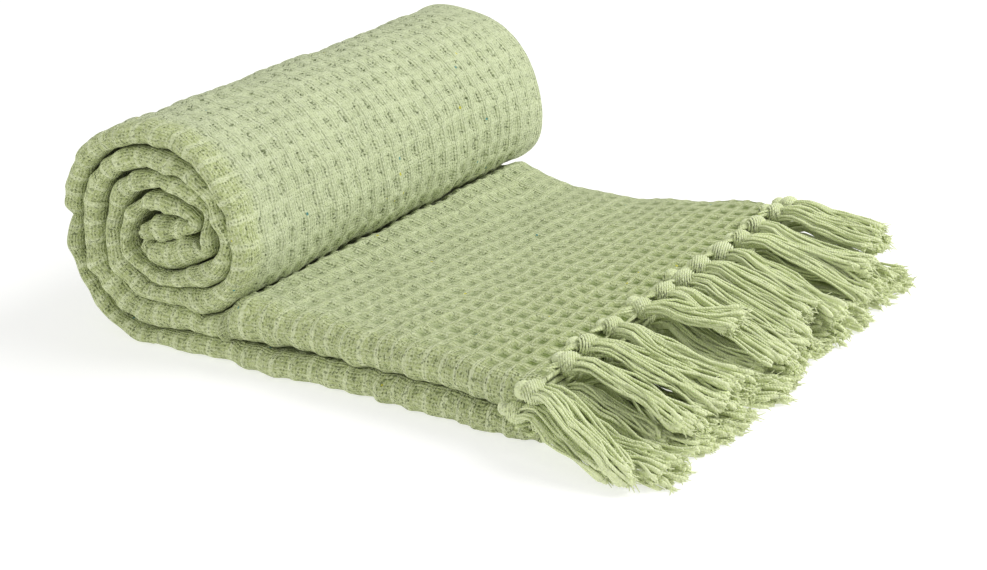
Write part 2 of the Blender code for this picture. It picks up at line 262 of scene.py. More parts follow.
@dataclass
class BandPath:
    """The way of the folded band from the lower cut end, round the roll and its core, to the
    upper cut end. It repeats the named sizes and tables of the solids."""
    folded_width: float = 0.320
    axis_height: float = 0.065
    turn_steps: int = 20
    edge_wave: float = 0.0014
    wave_rate: float = 0.9
    ripple_rate: float = 2.3
    ripple_share: float = 0.6
    core_recess: float = 0.004
    band_gap: float = 0.0006
    outer_turns: float = 1.75
    inner_turns: float = 1.50
    fold_pivot: tuple[float, float] = (21.8, 13.9)
    fold_thickness: float = 8.4
    fold_steps: int = 4
    # turn, and the radii outer band outside and inside, inner band outside and inside
    winding: tuple = (
        (0.0000, 65.0, 55.4, 54.8, 39.8), (0.1250, 69.7, 60.0, 59.3, 41.6),
        (0.2500, 69.5, 55.0, 54.3, 40.0), (0.3750, 65.4, 53.6, 52.9, 39.7),
        (0.5000, 65.6, 52.8, 52.1, 39.9), (0.6250, 65.5, 56.0, 55.3, 45.3),
        (0.7500, 66.0, 55.5, 54.8, 44.8), (0.7917, 65.2, 52.2, 51.5, 34.8),
        (0.8333, 60.6, 44.6, 43.9, 27.4), (0.8750, 53.2, 35.0, 34.3, 22.8),
        (0.9167, 44.2, 31.0, 30.3, 21.5), (0.9583, 40.1, 29.1, 28.4, 20.9),
        (1.0000, 39.2, 28.8, 28.1, 20.9), (1.1250, 40.9, 27.0, 26.1, 21.0),
        (1.2500, 39.3, 25.4, 24.2, 17.0), (1.3750, 39.0, 24.8, 24.0, 13.4),
        (1.5000, 39.2, 27.7, 26.9, 16.0), (1.6250, 44.6, 34.2, 0.0, 0.0),
        (1.6667, 44.4, 35.8, 0.0, 0.0), (1.7500, 41.6, 31.4, 0.0, 0.0))
    # across and up from the roll's axis, heading in degrees, thickness
    core: tuple = (
        (30.9, -1.9, -128.0, 12.8), (21.4, -4.0, -157.0, 17.6), (9.3, -10.2, -163.0, 16.0),
        (-2.5, -11.4, 180.0, 16.2), (-9.2, -9.6, 135.0, 13.2), (-10.3, -4.2, 95.0, 11.0),
        (-7.6, 1.0, 50.0, 12.0), (1.5, 4.2, 12.0, 17.2), (13.5, 6.0, 8.0, 14.0),
        (21.8, 9.1, 0.0, 8.4))
    after_fold: tuple = (11.5, 20.9, 186.0, 9.4)
    # along the flat run, top of the lower band, top of the upper band
    flat: tuple = (
        (20.0, 11.2, 25.4), (38.0, 12.8, 26.8), (49.0, 13.5, 33.0), (55.0, 13.9, 38.2),
        (61.0, 14.3, 41.6), (69.0, 14.6, 40.9), (90.0, 15.4, 39.6), (130.0, 17.0, 39.2),
        (175.0, 18.0, 39.0), (215.0, 17.4, 38.6), (246.0, 15.6, 37.5))
    # the weave's cell along the flat run: 12.8 mm in the roll, drawn together towards the fringe
    cell_along: tuple = ((20.0, 12.8), (57.0, 11.6), (150.0, 10.4), (246.0, 9.0))
    cell: float = 0.0128
    flat_start: float = 0.020
    outer_setback_from: float = 0.5
    inner_setback_from: float = 0.4
    table_size: int = 6000
    turn_shows_until: float = 0.9
    turn_change: float = 0.02
    top_shows_from: float = 0.045
    top_change: float = 0.01
    stations: Array = field(init=False)
    runs: Array = field(init=False)
    table_runs: Array = field(init=False)
    table_along: Array = field(init=False)

    def __post_init__(self) -> None:
        """Works out the stations, the run from one to the next, and the cloth length along it."""
        sections = self.all_stations()
        wander = [self.edge_wave * (math.sin(i * self.wave_rate)
                                    + self.ripple_share * math.sin(i * self.ripple_rate + 1))
                  for i in range(len(sections))]
        self.stations = np.array([(s.x, s.z, s.port_x, s.port_z, s.thickness, s.setback, w)
                                  for s, w in zip(sections, wander)])
        steps = np.linalg.norm(np.diff(self.stations[:, :2], axis=0), axis=1)
        self.runs = np.concatenate([[0.0], np.cumsum(steps)])
        self.measure_cloth()

    def radius(self, turn: float, column: int) -> float:
        """A radius of the winding in metres, read between the table's rows."""
        rows = np.array(self.winding)
        return float(np.interp(turn, rows[:, 0], rows[:, column])) * MM

    def roll_station(self, turn: float, outer: bool) -> Station:
        """Section of one band on a spoke of the roll.

        Args:
            turn: turns from straight down, first towards -X.
            outer: whether it is the outer band, whose port side faces out.

        Returns:
            The section, without the core's setback.
        """
        first = 1 if outer else 3
        outside, inside = self.radius(turn, first), self.radius(turn, first + 1)
        angle, facing = 2 * math.pi * turn, 1.0 if outer else -1.0
        spoke_x, spoke_z, middle = -math.sin(angle), -math.cos(angle), (outside + inside) / 2
        return Station(spoke_x * middle, self.axis_height + spoke_z * middle,
                       spoke_x * facing, spoke_z * facing, outside - inside, 0.0)

    def core_station(self, row: tuple) -> Station:
        """Section of the core from a row of its table."""
        across, up, heading, thickness = row
        angle = math.radians(heading)
        return Station(across * MM, self.axis_height + up * MM, -math.sin(angle), math.cos(angle),
                       thickness * MM, self.core_recess)

    def fold_stations(self) -> list[Station]:
        """Sections that turn half round the crosswise fold's pivot."""
        pivot_x, pivot_z = self.fold_pivot[0] * MM, self.axis_height + self.fold_pivot[1] * MM
        arm = self.fold_thickness * MM / 2 + self.band_gap
        made = []
        for step in range(1, self.fold_steps + 1):
            heading = math.pi * step / self.fold_steps
            port_x, port_z = -math.sin(heading), math.cos(heading)
            made.append(Station(pivot_x - port_x * arm, pivot_z - port_z * arm, port_x, port_z,
                                self.fold_thickness * MM, self.core_recess))
        return made

    def flat_station(self, row: tuple, outer: bool) -> Station:
        """Section of one band of the flat run, which stands upright."""
        along, lower_top, upper_top = (value * MM for value in row)
        low, high = (0.0, lower_top) if outer else (lower_top + self.band_gap, upper_top)
        return Station(along, (low + high) / 2, 0.0, -1.0 if outer else 1.0, high - low, 0.0)

    def all_stations(self) -> list[Station]:
        """All sections from the lower cut end to the upper one."""
        outer_steps = round(self.outer_turns * self.turn_steps)
        inner_steps = round(self.inner_turns * self.turn_steps)
        made = [self.flat_station(row, True) for row in reversed(self.flat)]
        for step in range(outer_steps + 1):
            setback = self.core_recess * max(0.0, step / outer_steps - self.outer_setback_from)
            made.append(replace(self.roll_station(step / self.turn_steps, True), setback=setback))
        made += [self.core_station(row) for row in self.core]
        made += self.fold_stations()
        made.append(self.core_station(self.after_fold))
        for step in range(inner_steps, -1, -1):
            setback = self.core_recess * max(0.0, step / inner_steps - self.inner_setback_from)
            made.append(replace(self.roll_station(step / self.turn_steps, False), setback=setback))
        return made + [self.flat_station(row, False) for row in self.flat]

    def run_at(self, band: Band, turn: float) -> float:
        """Run at a turn of a band, or at a share of the way through the core.

        Args:
            band: the band.
            turn: turns from straight down, or the share in the core.

        Returns:
            Metres along the band's middle.
        """
        outer_end = len(self.flat) + self.outer_turns * self.turn_steps
        inner_end = len(self.runs) - 1 - len(self.flat)
        inner_start = inner_end - self.inner_turns * self.turn_steps
        place = {Band.OUTER: len(self.flat) + turn * self.turn_steps,
                 Band.CORE: outer_end + (inner_start - outer_end) * turn,
                 Band.INNER: inner_end - turn * self.turn_steps}[band]
        return float(np.interp(place, np.arange(len(self.runs)), self.runs))

    def run_at_upper(self, x: float) -> float:
        """Run at a place along the upper band's flat run."""
        count = len(self.flat)
        return float(np.interp(x, self.stations[-count:, 0], self.runs[-count:]))

    def measure_cloth(self) -> None:
        """Cloth length along the run: the length of the side that shows, times the cells drawn
        together there. The port side shows on the outer turn and on top of the flat run, and
        between them the near fold, which runs at the band's middle."""
        self.table_runs = np.linspace(0, self.runs[-1], self.table_size)
        rows = self.read(self.table_runs)
        turn_start = self.run_at(Band.OUTER, 0.0) - self.turn_change
        turn_end = self.run_at(Band.OUTER, self.turn_shows_until)
        top_start = self.run_at_upper(self.top_shows_from)
        shows = smooth_step((self.table_runs - turn_start) / self.turn_change)
        shows *= 1 - smooth_step((self.table_runs - turn_end) / self.turn_change)
        shows += smooth_step((self.table_runs - top_start) / self.top_change)
        face = rows[:, :2] + rows[:, 2:4] * (rows[:, 4] / 2 * shows)[:, None]
        steps = np.linalg.norm(np.diff(face, axis=0), axis=1)
        gather = self.gather(rows)
        self.table_along = np.concatenate([[0.0], np.cumsum(steps * (gather[1:] + gather[:-1]) / 2)])

    def gather(self, rows: Array) -> Array:
        """How much closer the cells lie along the flat run than in the roll.

        Args:
            rows: sections as read() gives them.

        Returns:
            One for the roll and more for the flat run.
        """
        cells = np.array(self.cell_along)
        ratio = self.cell / (np.interp(rows[:, 0], cells[:, 0] * MM, cells[:, 1]) * MM)
        is_flat = (np.abs(rows[:, 3]) > LEVEL) & (rows[:, 0] > self.flat_start)
        return np.where(is_flat, ratio, 1.0)

    def read(self, runs: Array) -> Array:
        """Sections at these runs, with the port direction of length one.

        Args:
            runs: metres along the band's middle.

        Returns:
            Rows of x, z, port x, port z, thickness, setback and wander.
        """
        rows = curve_through(self.runs, self.stations, runs)
        rows[:, 2:4] /= np.linalg.norm(rows[:, 2:4], axis=1)[:, None]
        return rows

    def along(self, run: float) -> float:
        """Cloth length from the lower cut end to this run."""
        return float(np.interp(run, self.table_runs, self.table_along))

    def run(self, along: Array) -> Array:
        """Runs at these cloth lengths."""
        return np.interp(along, self.table_along, self.table_runs)


@dataclass
class Ring:
    """The outline of the band's section at each row, as a loop of points. Each array has a row
    for each section, and a column for each point of the loop."""
    across: Array
    height: Array
    facing_across: Array
    facing_height: Array
    cloth: Array
    relief: Array

    @staticmethod
    def joined(parts: list["Ring"]) -> "Ring":
        """One loop from its parts in order."""
        return Ring(*(np.concatenate([getattr(part, column.name) for part in parts], axis=1)
                      for column in fields(Ring)))


@dataclass
class WaffleBand:
    """The folded cloth: a stretch of the band of four layers, with its waffle relief."""
    path: BandPath
    cloth_thickness: float = 0.0034
    layer_gap: float = 0.0004
    samples_per_cell: int = 9
    cells_across: int = 24
    fold_cells: int = 2
    pit_depth: float = 0.0016
    deepest: float = 0.94
    gather_power: float = 1.3
    crossing_dip: float = 0.30
    ridge_top: float = 0.0003
    pit_wall: float = 0.0043
    pit_lean: float = 1.45
    lower_ridge: float = 0.40
    fold_relief: float = 0.34
    open_edge_relief: float = 0.35
    most_gathered: float = 0.42
    end_taper: float = 0.020
    end_thinning: float = 0.22
    end_draw: float = 0.0040
    edge_inset: float = 0.018
    edge_thinning: float = 0.33
    inset_along: tuple = (0.020, 0.062, 0.150, 0.246)
    inset_share: tuple = (0.0, 1.0, 1.0, 0.12)
    thinning_along: tuple = (0.020, 0.052, 0.066, 0.082, 0.100, 0.150, 0.246)
    thinning_share: tuple = (0.0, 0.15, 0.42, 0.80, 1.0, 1.0, 0.12)
    drift_across: Unevenness = Unevenness(0.0009, 0.050, 11)
    drift_along: Unevenness = Unevenness(0.0011, 0.055, 12)
    depth_change: Unevenness = Unevenness(0.14, 0.018, 13)
    swell: Unevenness = Unevenness(0.0008, 0.050, 14)
    edge_drift: Unevenness = Unevenness(0.0014, 0.020, 15)
    fold_change: Unevenness = Unevenness(0.07, 0.017, 16)
    tuck_across: float = 0.050
    damped_cells: float = 1.5
    crossing_from: float = 0.45
    drift_ends: float = 0.030
    flat_from: float = 0.9
    # band, turn, across, reach along, reach across, depth
    troughs: tuple = (
        Trough(Band.OUTER, 0.258, -0.158, 0.0032, 0.030, 0.0052),
        Trough(Band.OUTER, 0.300, -0.150, 0.0060, 0.045, -0.0012),
        Trough(Band.OUTER, 0.520, -0.100, 0.0120, 0.050, 0.0012),
        Trough(Band.OUTER, 0.640, 0.020, 0.0140, 0.060, 0.0011),
        Trough(Band.OUTER, 0.420, 0.060, 0.0160, 0.050, 0.0012),
        Trough(Band.OUTER, 0.690, -0.090, 0.0110, 0.040, 0.0010),
        Trough(Band.CORE, 0.36, -0.160, 0.0022, 0.020, 0.0022),
        Trough(Band.CORE, 0.46, -0.160, 0.0020, 0.020, 0.0020),
        Trough(Band.CORE, 0.55, -0.160, 0.0022, 0.020, 0.0018),
    )
    # band, turn, reach, how much thinner, how far back
    tucks: tuple = (
        Tuck(Band.OUTER, 0.255, 0.0070, 0.25, 0.0040), Tuck(Band.OUTER, 0.195, 0.0220, 0.22, 0.0020),
        Tuck(Band.OUTER, 0.330, 0.0120, 0.14, 0.0006), Tuck(Band.INNER, 0.250, 0.0120, 0.10, 0.0016),
        Tuck(Band.INNER, 0.150, 0.0040, 0.18, 0.0022), Tuck(Band.INNER, 0.414, 0.0060, 0.12, 0.0010),
        Tuck(Band.INNER, 0.485, 0.0050, 0.10, 0.0006), Tuck(Band.OUTER, 1.410, 0.0060, 0.20, 0.0012),
        Tuck(Band.OUTER, 1.530, 0.0040, 0.25, 0.0012), Tuck(Band.OUTER, 1.250, 0.0120, 0.20, 0.0022),
        Tuck(Band.INNER, 1.420, 0.0070, 0.25, 0.0022), Tuck(Band.OUTER, 1.680, 0.0100, 0.20, 0.0040),
        Tuck(Band.CORE, 0.300, 0.0018, 0.06, 0.0022), Tuck(Band.CORE, 0.365, 0.0016, 0.05, 0.0026),
        Tuck(Band.CORE, 0.420, 0.0014, 0.04, 0.0024), Tuck(Band.CORE, 0.475, 0.0016, 0.05, 0.0028),
        Tuck(Band.CORE, 0.540, 0.0016, 0.05, 0.0020),
    )

    def layer(self, thickness: Array) -> Array:
        """The thickness of one layer, less where the band is too thin for the full cloth."""
        return np.minimum(self.cloth_thickness, (thickness - 3 * self.layer_gap) / 4)

    def straight(self, start: Array, end: Array, height: Array, facing: float,
                 cloth: tuple[Array, Array], count: int) -> Ring:
        """A straight part of the loop, evenly divided from start to end at a constant height.

        Args:
            start: where it starts across.
            end: where it ends, which is the next part's first point.
            height: its height above the band's middle.
            facing: 1 where the cloth's surface faces up, -1 where it faces down.
            cloth: the distance across the cloth at both ends.
            count: how many points it has.

        Returns:
            The part.
        """
        share = np.arange(count) / count
        across = start + (end - start) * share
        flat = np.zeros_like(across)
        return Ring(across, flat + height, flat, flat + facing,
                    cloth[0] + (cloth[1] - cloth[0]) * share, flat)

    def bend(self, centre: tuple[Array, Array], radius: Array, degrees: tuple[float, float],
             facing: float, cloth: tuple[Array, Array], count: int) -> Ring:
        """A round part of the loop: the centre plus the radius times (cos, sin) of an angle
        evenly divided between the two.

        Args:
            centre: its centre, across and up.
            radius: its radius.
            degrees: the first angle, and the one of the next part's first point.
            facing: 1 where the cloth's surface faces out, -1 where it faces the centre.
            cloth: the distance across the cloth at both ends.
            count: how many points it has.

        Returns:
            The part.
        """
        share = np.arange(count) / count
        angle = np.radians(degrees[0] + (degrees[1] - degrees[0]) * share)
        across = centre[0] + radius * np.cos(angle)
        flat = np.zeros_like(across)
        return Ring(across, centre[1] + radius * np.sin(angle), flat + facing * np.cos(angle),
                    flat + facing * np.sin(angle), cloth[0] + (cloth[1] - cloth[0]) * share, flat)

    def columns(self, cover: Cover) -> Array:
        """Cloth distances of the outer face's columns from the near fold's apex, port side first.

        Fine columns lie a ninth of a cell apart and coarse ones on the ridges, so that a coarse
        stretch shows its ridge tops.

        Args:
            cover: where the mesh is fine.

        Returns:
            The distances.
        """
        fine, cell = self.path.cell / self.samples_per_cell, self.path.cell
        near = self.fold_cells * self.samples_per_cell
        ridges = np.arange(self.cells_across, self.fold_cells, -2) * cell
        whole = np.arange(self.cells_across * self.samples_per_cell, near, -1) * fine
        port = whole if cover is Cover.WHOLE_PORT_SIDE else ridges
        return np.concatenate([port, np.arange(near, -near - 1, -1) * fine, -ridges[::-1]])

    def ring(self, thickness: Array, cover: Cover) -> Ring:
        """Loop round the folded cloth at each row.

        The outer face is a half circle as thick as the band with a straight side on each side of
        it. The other layers lie inside it, joined by smaller half circles.

        Args:
            thickness: the band's thickness at each row.
            cover: where the mesh is fine.

        Returns:
            The loop, from the open edge of the port layer round the outer face, in along the
            inner layers to the other open edge, and back on the cloth's other face.
        """
        t = thickness[:, None]
        half = self.path.folded_width / 2
        layer = self.layer(t)
        pitch = layer + (t - 4 * layer) / 3
        near, far, radius = -half + t / 2, half - pitch, t / 2
        quarter = math.pi / 2 * radius
        edge, far_edge = half - near + quarter, far - near + quarter
        small = math.pi / 2 * pitch
        marks = np.cumsum(np.stack([edge, quarter - edge, -2 * quarter, quarter - far_edge, -small,
                                    near - far, -small, near - half]), axis=0)
        fixed = np.broadcast_to(self.columns(cover), (len(t), len(self.columns(cover))))
        tail = np.arange(self.samples_per_cell) / self.samples_per_cell
        last = self.cells_across * self.path.cell
        cloth = np.concatenate([edge + (last - edge) * tail, fixed,
                                -last + (last - far_edge) * tail[1::2]], axis=1)
        angle = np.clip(cloth / radius, -math.pi / 2, math.pi / 2)
        outer = Ring(near - radius * np.cos(angle) + np.maximum(np.abs(cloth) - quarter, 0),
                     radius * np.sin(angle), -np.cos(angle), np.sin(angle), cloth, np.ones_like(cloth))
        up, down, lay = 0.5 * pitch, -0.5 * pitch, layer / 2
        zero = np.zeros_like(t)
        spans = [marks[k:k + 2] for k in range(7)]
        under = 20 if cover is Cover.WHOLE_PORT_SIDE else 8
        # the last number of each part is its count of points
        return Ring.joined([
            outer,
            self.bend((far, -pitch), up + lay, (-90, 90), 1, spans[3], 6),
            self.straight(far, near, down + lay, 1, spans[4], 8),
            self.bend((near, zero), up - lay, (270, 90), -1, spans[5], 3),
            self.straight(near, zero + half, up - lay, -1, spans[6], 8),
            self.straight(zero + half, near, up - lay, -1, spans[6][::-1], 1),
            self.straight(zero + half, near, up + lay, 1, spans[6][::-1], 8),
            self.bend((near, zero), up + lay, (90, 270), 1, spans[5][::-1], 5),
            self.straight(near, far, down - lay, -1, spans[4][::-1], 8),
            self.bend((far, -pitch), up - lay, (90, -90), -1, spans[3][::-1], 3),
            self.straight(far, near, -1.5 * pitch + lay, 1, spans[2][::-1], 8),
            self.bend((near, zero), 1.5 * pitch - lay, (270, 90), -1, spans[1][::-1], 8),
            self.straight(near, zero + half, 1.5 * pitch - lay, -1, spans[0][::-1], under),
            self.straight(zero + half, near, 1.5 * pitch - lay, -1, spans[0], 1),
        ])

    def relief(self, cloth: Array, along: Array, layer: Array, gather: Array) -> Array:
        """Depth below the tops of the floats.

        The cells' grid lines are the ridges. A ridge falls off by a smooth step of the distance
        from its line over the wall's width, and the cloth is as high as the two ridges' fourth
        power mean. Round the roll the ridges that run round it are the higher ones, and on the
        flat run those across it. On the port side each pit leans: its share of the way across a
        cell is raised to a power, so that its far wall is the steeper one. Where two ridges
        cross they dip by a share of the depth, since the floats are held down there. Along the
        near fold the cloth is stretched flatter, and the pits grow shallow towards the open
        edges.

        Args:
            cloth: metres across the cloth.
            along: metres along it.
            layer: the thickness of one layer.
            gather: how much closer the cells lie along the cloth than in the roll.

        Returns:
            The depth at each point.
        """
        cell = self.path.cell
        leaning = 1 + (self.pit_lean - 1) * smooth_step(cloth / cell - 1)
        share = [np.abs(2 * np.mod(cloth / cell, 1.0) ** leaning - 1),
                 np.abs(2 * np.mod(along / cell, 1.0) - 1)]
        drawn = np.clip((gather - 1) / self.most_gathered, 0, 1)
        tops = 1 - self.lower_ridge * drawn, 1 - self.lower_ridge * (1 - drawn)
        ridges = [top * (1 - smooth_step(((1 - part) * cell / 2 - self.ridge_top) / self.pit_wall))
                  for top, part in zip(tops, share)]
        high = (ridges[0] ** 4 + ridges[1] ** 4) ** 0.25
        depth = np.minimum(self.pit_depth * gather ** self.gather_power, self.deepest * layer)
        depth = depth * (1 + self.depth_change.at(cloth, along))
        off_fold = smooth_step((np.abs(cloth) / cell - 1.0) / self.damped_cells)
        at_edge = smooth_step((np.abs(cloth) / cell - self.cells_across) / self.damped_cells + 1)
        depth = depth * (self.fold_relief + (1 - self.fold_relief) * off_fold)
        depth = depth * (1 - (1 - self.open_edge_relief) * at_edge)
        crossing = smooth_step((np.minimum(*share) - self.crossing_from) / (1 - self.crossing_from))
        return depth * (np.maximum(1 - high, 0) + self.crossing_dip * crossing)

    def press(self, across: Array, along: Array) -> Array:
        """Height of the swells, troughs and ridges of the port side: a field of soft waves, less
        each trough's depth times the bell curve of the distance from it.

        Args:
            across: metres across the folded band.
            along: metres along the cloth.

        Returns:
            The height at each point.
        """
        height = self.swell.at(across, along)
        for trough in self.troughs:
            place = self.path.along(self.path.run_at(trough.band, trough.turn))
            height = height - trough.depth * np.exp(-((along - place) / trough.reach_along) ** 2
                                                    - ((across - trough.across) / trough.reach_across) ** 2)
        return height

    def tucked(self, across: Array, along: Array) -> tuple[Array, Array]:
        """The share by which the near fold is thinner, and how far it sits back: each tuck's own
        values times the bell curve of the distance from it, and a field of small changes.

        Args:
            across: metres across the folded band.
            along: metres along the cloth.

        Returns:
            The share and the distance at each point.
        """
        near = np.exp(-((across + self.path.folded_width / 2) / self.tuck_across) ** 2)
        thinner = self.fold_change.at(0 * across, along) * near
        back = self.edge_drift.at(0 * across, along)
        for tuck in self.tucks:
            place = self.path.along(self.path.run_at(tuck.band, tuck.turn))
            bell = np.exp(-((along - place) / tuck.reach) ** 2)
            thinner = thinner + tuck.thinner * bell * near
            back = back + tuck.back * bell
        return thinner, back

    def settled(self, x: Array, y: Array, z: Array, flat: Array) -> tuple[Array, Array]:
        """Lays the flat run: narrower and thinner towards its open edges, but it rises to the roll.

        Args:
            x: the points' x.
            y: their y.
            z: their z.
            flat: 1 on the flat run and 0 elsewhere.

        Returns:
            Their new y and z.
        """
        share = np.interp(x, self.inset_along, self.inset_share) * flat
        thinner = np.interp(x, self.thinning_along, self.thinning_share) * flat
        out = y / self.path.folded_width + 0.5
        return y - self.edge_inset * share * out ** 2, z * (1 - self.edge_thinning * thinner * out)

    def dressed(self, ring: Ring, rows: Array, along: Array, gather: Array) -> tuple[Array, ...]:
        """The section with its relief, swells, tucks and drawn-in ends.

        Args:
            ring: the plain section at each row.
            rows: the path's sections.
            along: metres along the cloth.
            gather: how much closer the cells lie along the cloth than in the roll.

        Returns:
            Distances across, heights above the band's middle, and how far the middle sinks.
        """
        port_z, thickness, setback, wander = (rows[:, k:k + 1] for k in range(3, 7))
        inward = self.relief(ring.cloth, along, self.layer(thickness), gather) * ring.relief
        across = ring.across - ring.facing_across * inward
        height = ring.height - ring.facing_height * inward
        lies_below = port_z < -LEVEL
        lift = np.where(lies_below, 0, self.press(ring.across, along))
        height = height + lift * (height / thickness + 0.5)
        thinner, back = self.tucked(ring.across, along)
        height = height * (1 - thinner * ~lies_below)
        closing = 1 - smooth_step(np.minimum(along, self.path.table_along[-1] - along) / self.end_taper)
        height = height * (1 - self.end_thinning * closing)
        back = back + self.end_draw * closing
        out = across / self.path.folded_width + 0.5
        across = across + (wander + setback + back) * (1 - out)
        inside = 1 - np.abs(2 * np.clip(out, 0, 1) - 1) ** 4
        across = across + self.drift_across.at(ring.across, along) * inside
        return across, height, thickness / 2 * self.end_thinning * closing * lies_below

    def surface(self, start: float, end: float, cover: Cover, rows_per_cell: int) -> tuple[Array, Array]:
        """Points of a stretch of the band and their cloth coordinates.

        A point is the middle of the band at its row, plus its height along the port direction,
        with its distance across along Y. The swells scale the heights above the starboard side,
        so the layers stay apart, and the drift moves a point within the cloth's own plane.

        Args:
            start: run at which the stretch starts.
            end: run at which it ends.
            cover: where the mesh is fine.
            rows_per_cell: rows of the mesh in one cell of the weave.

        Returns:
            An array of rows by loop points by (x, y, z), and one of (across, along, how far the
            cells are drawn together).
        """
        path = self.path
        first, last = path.along(start), path.along(end)
        step = path.cell / rows_per_cell
        inner = np.arange(math.ceil(first / step + 0.3), math.floor(last / step - 0.3) + 1) * step
        along = np.concatenate([[first], inner, [last]])
        rows = path.read(path.run(along))
        x, z, port_x, port_z = (rows[:, k:k + 1] for k in range(4))
        ring = self.ring(rows[:, 4], cover)
        along = along[:, None]
        gather = path.gather(rows)[:, None]
        across, height, sunk = self.dressed(ring, rows, along, gather)
        drift = self.drift_along.at(ring.across, along) * smooth_step((along - first) / self.drift_ends)
        drift = drift * smooth_step((last - along) / self.drift_ends)
        point_x = x + port_x * height + port_z * drift
        point_z = z - sunk + port_z * height - port_x * drift
        level = smooth_step((np.abs(port_z) - self.flat_from) / (1 - self.flat_from))
        flat = level * (x > 0) * (np.abs(port_x) < 1e-3)
        across, point_z = self.settled(point_x, across, point_z, flat)
        points = np.stack(np.broadcast_arrays(point_x, across, np.maximum(point_z, 0.0)), axis=-1)
        drawn = (gather - 1) / self.most_gathered
        return points, np.stack(np.broadcast_arrays(ring.cloth, along, drawn), axis=-1)


def closed_tube(name: str, points: Array, cloth: Array) -> bpy.types.Object:
    """Makes a mesh from rows of loops: quads between neighbouring rows, and a face at each end.

    Args:
        name: the piece's name.
        points: rows by loop points by coordinates.
        cloth: the same by the two cloth coordinates, for the UV map, and how far the cells are
            drawn together.

    Returns:
        The new object, shaded smooth.
    """
    rows, loop = points.shape[:2]
    index = np.arange(rows * loop).reshape(rows, loop)
    after = np.roll(index, -1, axis=1)
    quads = np.stack([index[:-1], index[1:], after[1:], after[:-1]], axis=-1).reshape(-1, 4)
    ends = [index[0].tolist(), index[-1, ::-1].tolist()]
    mesh = bpy.data.meshes.new(name)
    mesh.from_pydata(points.reshape(-1, 3), [], quads.tolist() + ends)
    piece = finished(name, mesh, cloth[..., :2].reshape(-1, 2))
    drawn = mesh.attributes.new("drawn", "FLOAT", "POINT")
    drawn.data.foreach_set("value", cloth[..., 2].astype(np.float32).ravel())
    return piece


def finished(name: str, mesh: bpy.types.Mesh, cloth: Array) -> bpy.types.Object:
    """Gives a mesh its UV map and smooth shading, and puts it in the scene.

    Args:
        name: the piece's name.
        mesh: the mesh.
        cloth: UV coordinates, one row for each vertex or one for each face corner.

    Returns:
        The new object.
    """
    corners = np.empty(len(mesh.loops), np.int32)
    mesh.loops.foreach_get("vertex_index", corners)
    uv = cloth if len(cloth) == len(corners) else cloth[corners]
    mesh.uv_layers.new(name="UVMap").uv.foreach_set("vector", uv.astype(np.float32).ravel())
    mesh.shade_smooth()
    mesh.update()
    piece = bpy.data.objects.new(name, mesh)
    bpy.context.scene.collection.objects.link(piece)
    return piece


@dataclass(frozen=True)
class Weave:
    """What the weave is like at a place, as sockets: the cloth coordinates, how near the place is
    to the cell's lines in both directions, 0 in the middle and 1 on them, how near it is to the
    top of a yarn in both directions, the patches, the distances from the diagonals and from the
    near fold, and how far the cells are drawn together."""
    place: Socket
    across: Socket
    shares: list[Socket]
    crowns: list[Socket]
    patches: Socket
    off_diagonal: Socket
    off_fold: Socket
    drawn: Socket


@dataclass(frozen=True)
class Gaps:
    """The small dark gaps between the loops of yarn.

    They are painted shade: the dark that the yarns would cast into these gaps, which the bump
    does not. They lie where the crowns of both directions are low, in spots, with a few more at
    the peaks of a noise. They crowd on a cell's diagonals, on the far side of its pit, where the
    wall turned from the key light takes more painted shade, and along the near fold, where the
    cloth is stretched. A range is what takes a value from 0 to 1.
    """
    darkness: float = 0.78
    spot_size: float = 0.0026
    clump_size: float = 0.0024
    low_crowns: Range = (0.30, 0.84)
    spots: Range = (0.45, 0.66)
    clumps: Range = (0.54, 0.70)
    patches: Range = (0.30, 0.60)
    far_half: Range = (0.40, 0.70)
    before_line: Range = (0.99, 0.85)
    beside_line: Range = (0.95, 0.45)
    diagonal: Range = (0.42, 0.12)
    on_diagonal: float = 0.45
    drawn_pit: float = -0.6
    at_fold: float = 0.62
    elsewhere: float = 0.22

    def build(self, nodes: Nodes, weave: Weave, cell: float) -> Socket:
        """Adds the gaps.

        Args:
            nodes: the material's nodes.
            weave: what the weave is like at a place.
            cell: the size of a cell.

        Returns:
            How dark it is, from 0 to 1.
        """
        add = nodes.add
        low = add("MULTIPLY", *(add("SUBTRACT", 1.0, crown) for crown in weave.crowns))
        within = add("FRACT", add("DIVIDE", weave.across, cell))
        spots = add("TexNoise", inputs={"Vector": weave.place, "Scale": 1 / self.spot_size, "Detail": 0.0})
        clumps = add("TexNoise", inputs={"Vector": weave.place, "Scale": 1 / self.clump_size, "Detail": 1.0})
        values = {"low_crowns": low, "spots": spots, "clumps": clumps, "patches": weave.patches,
                  "far_half": within, "before_line": within, "beside_line": weave.shares[1],
                  "diagonal": weave.off_diagonal}
        of = {name: add("MapRange", value, *getattr(self, name), interpolation_type="SMOOTHSTEP")
              for name, value in values.items()}
        dots = add("MAXIMUM", add("MULTIPLY", of["low_crowns"], of["spots"]),
                   add("MULTIPLY", of["clumps"], of["patches"]))
        # the pit's far wall, turned from the key light, gets more of the gaps' painted shade
        in_pit = add("MULTIPLY", add("MULTIPLY", of["far_half"], of["before_line"]), of["beside_line"])
        in_pit = add("MULTIPLY", in_pit, add("MULTIPLY_ADD", weave.drawn, self.drawn_pit, 1.0))
        at_fold = add("MULTIPLY", add("SUBTRACT", 1.0, weave.off_fold),
                      add("MULTIPLY_ADD", weave.drawn, 1 - self.at_fold, self.at_fold))
        on_diagonal = add("MULTIPLY", of["diagonal"], self.on_diagonal)
        crowd = add("MAXIMUM", add("MAXIMUM", at_fold, in_pit), on_diagonal)
        crowd = add("MULTIPLY_ADD", crowd, 1 - self.elsewhere, self.elsewhere)
        return add("MULTIPLY", add("MULTIPLY", dots, crowd), self.darkness)


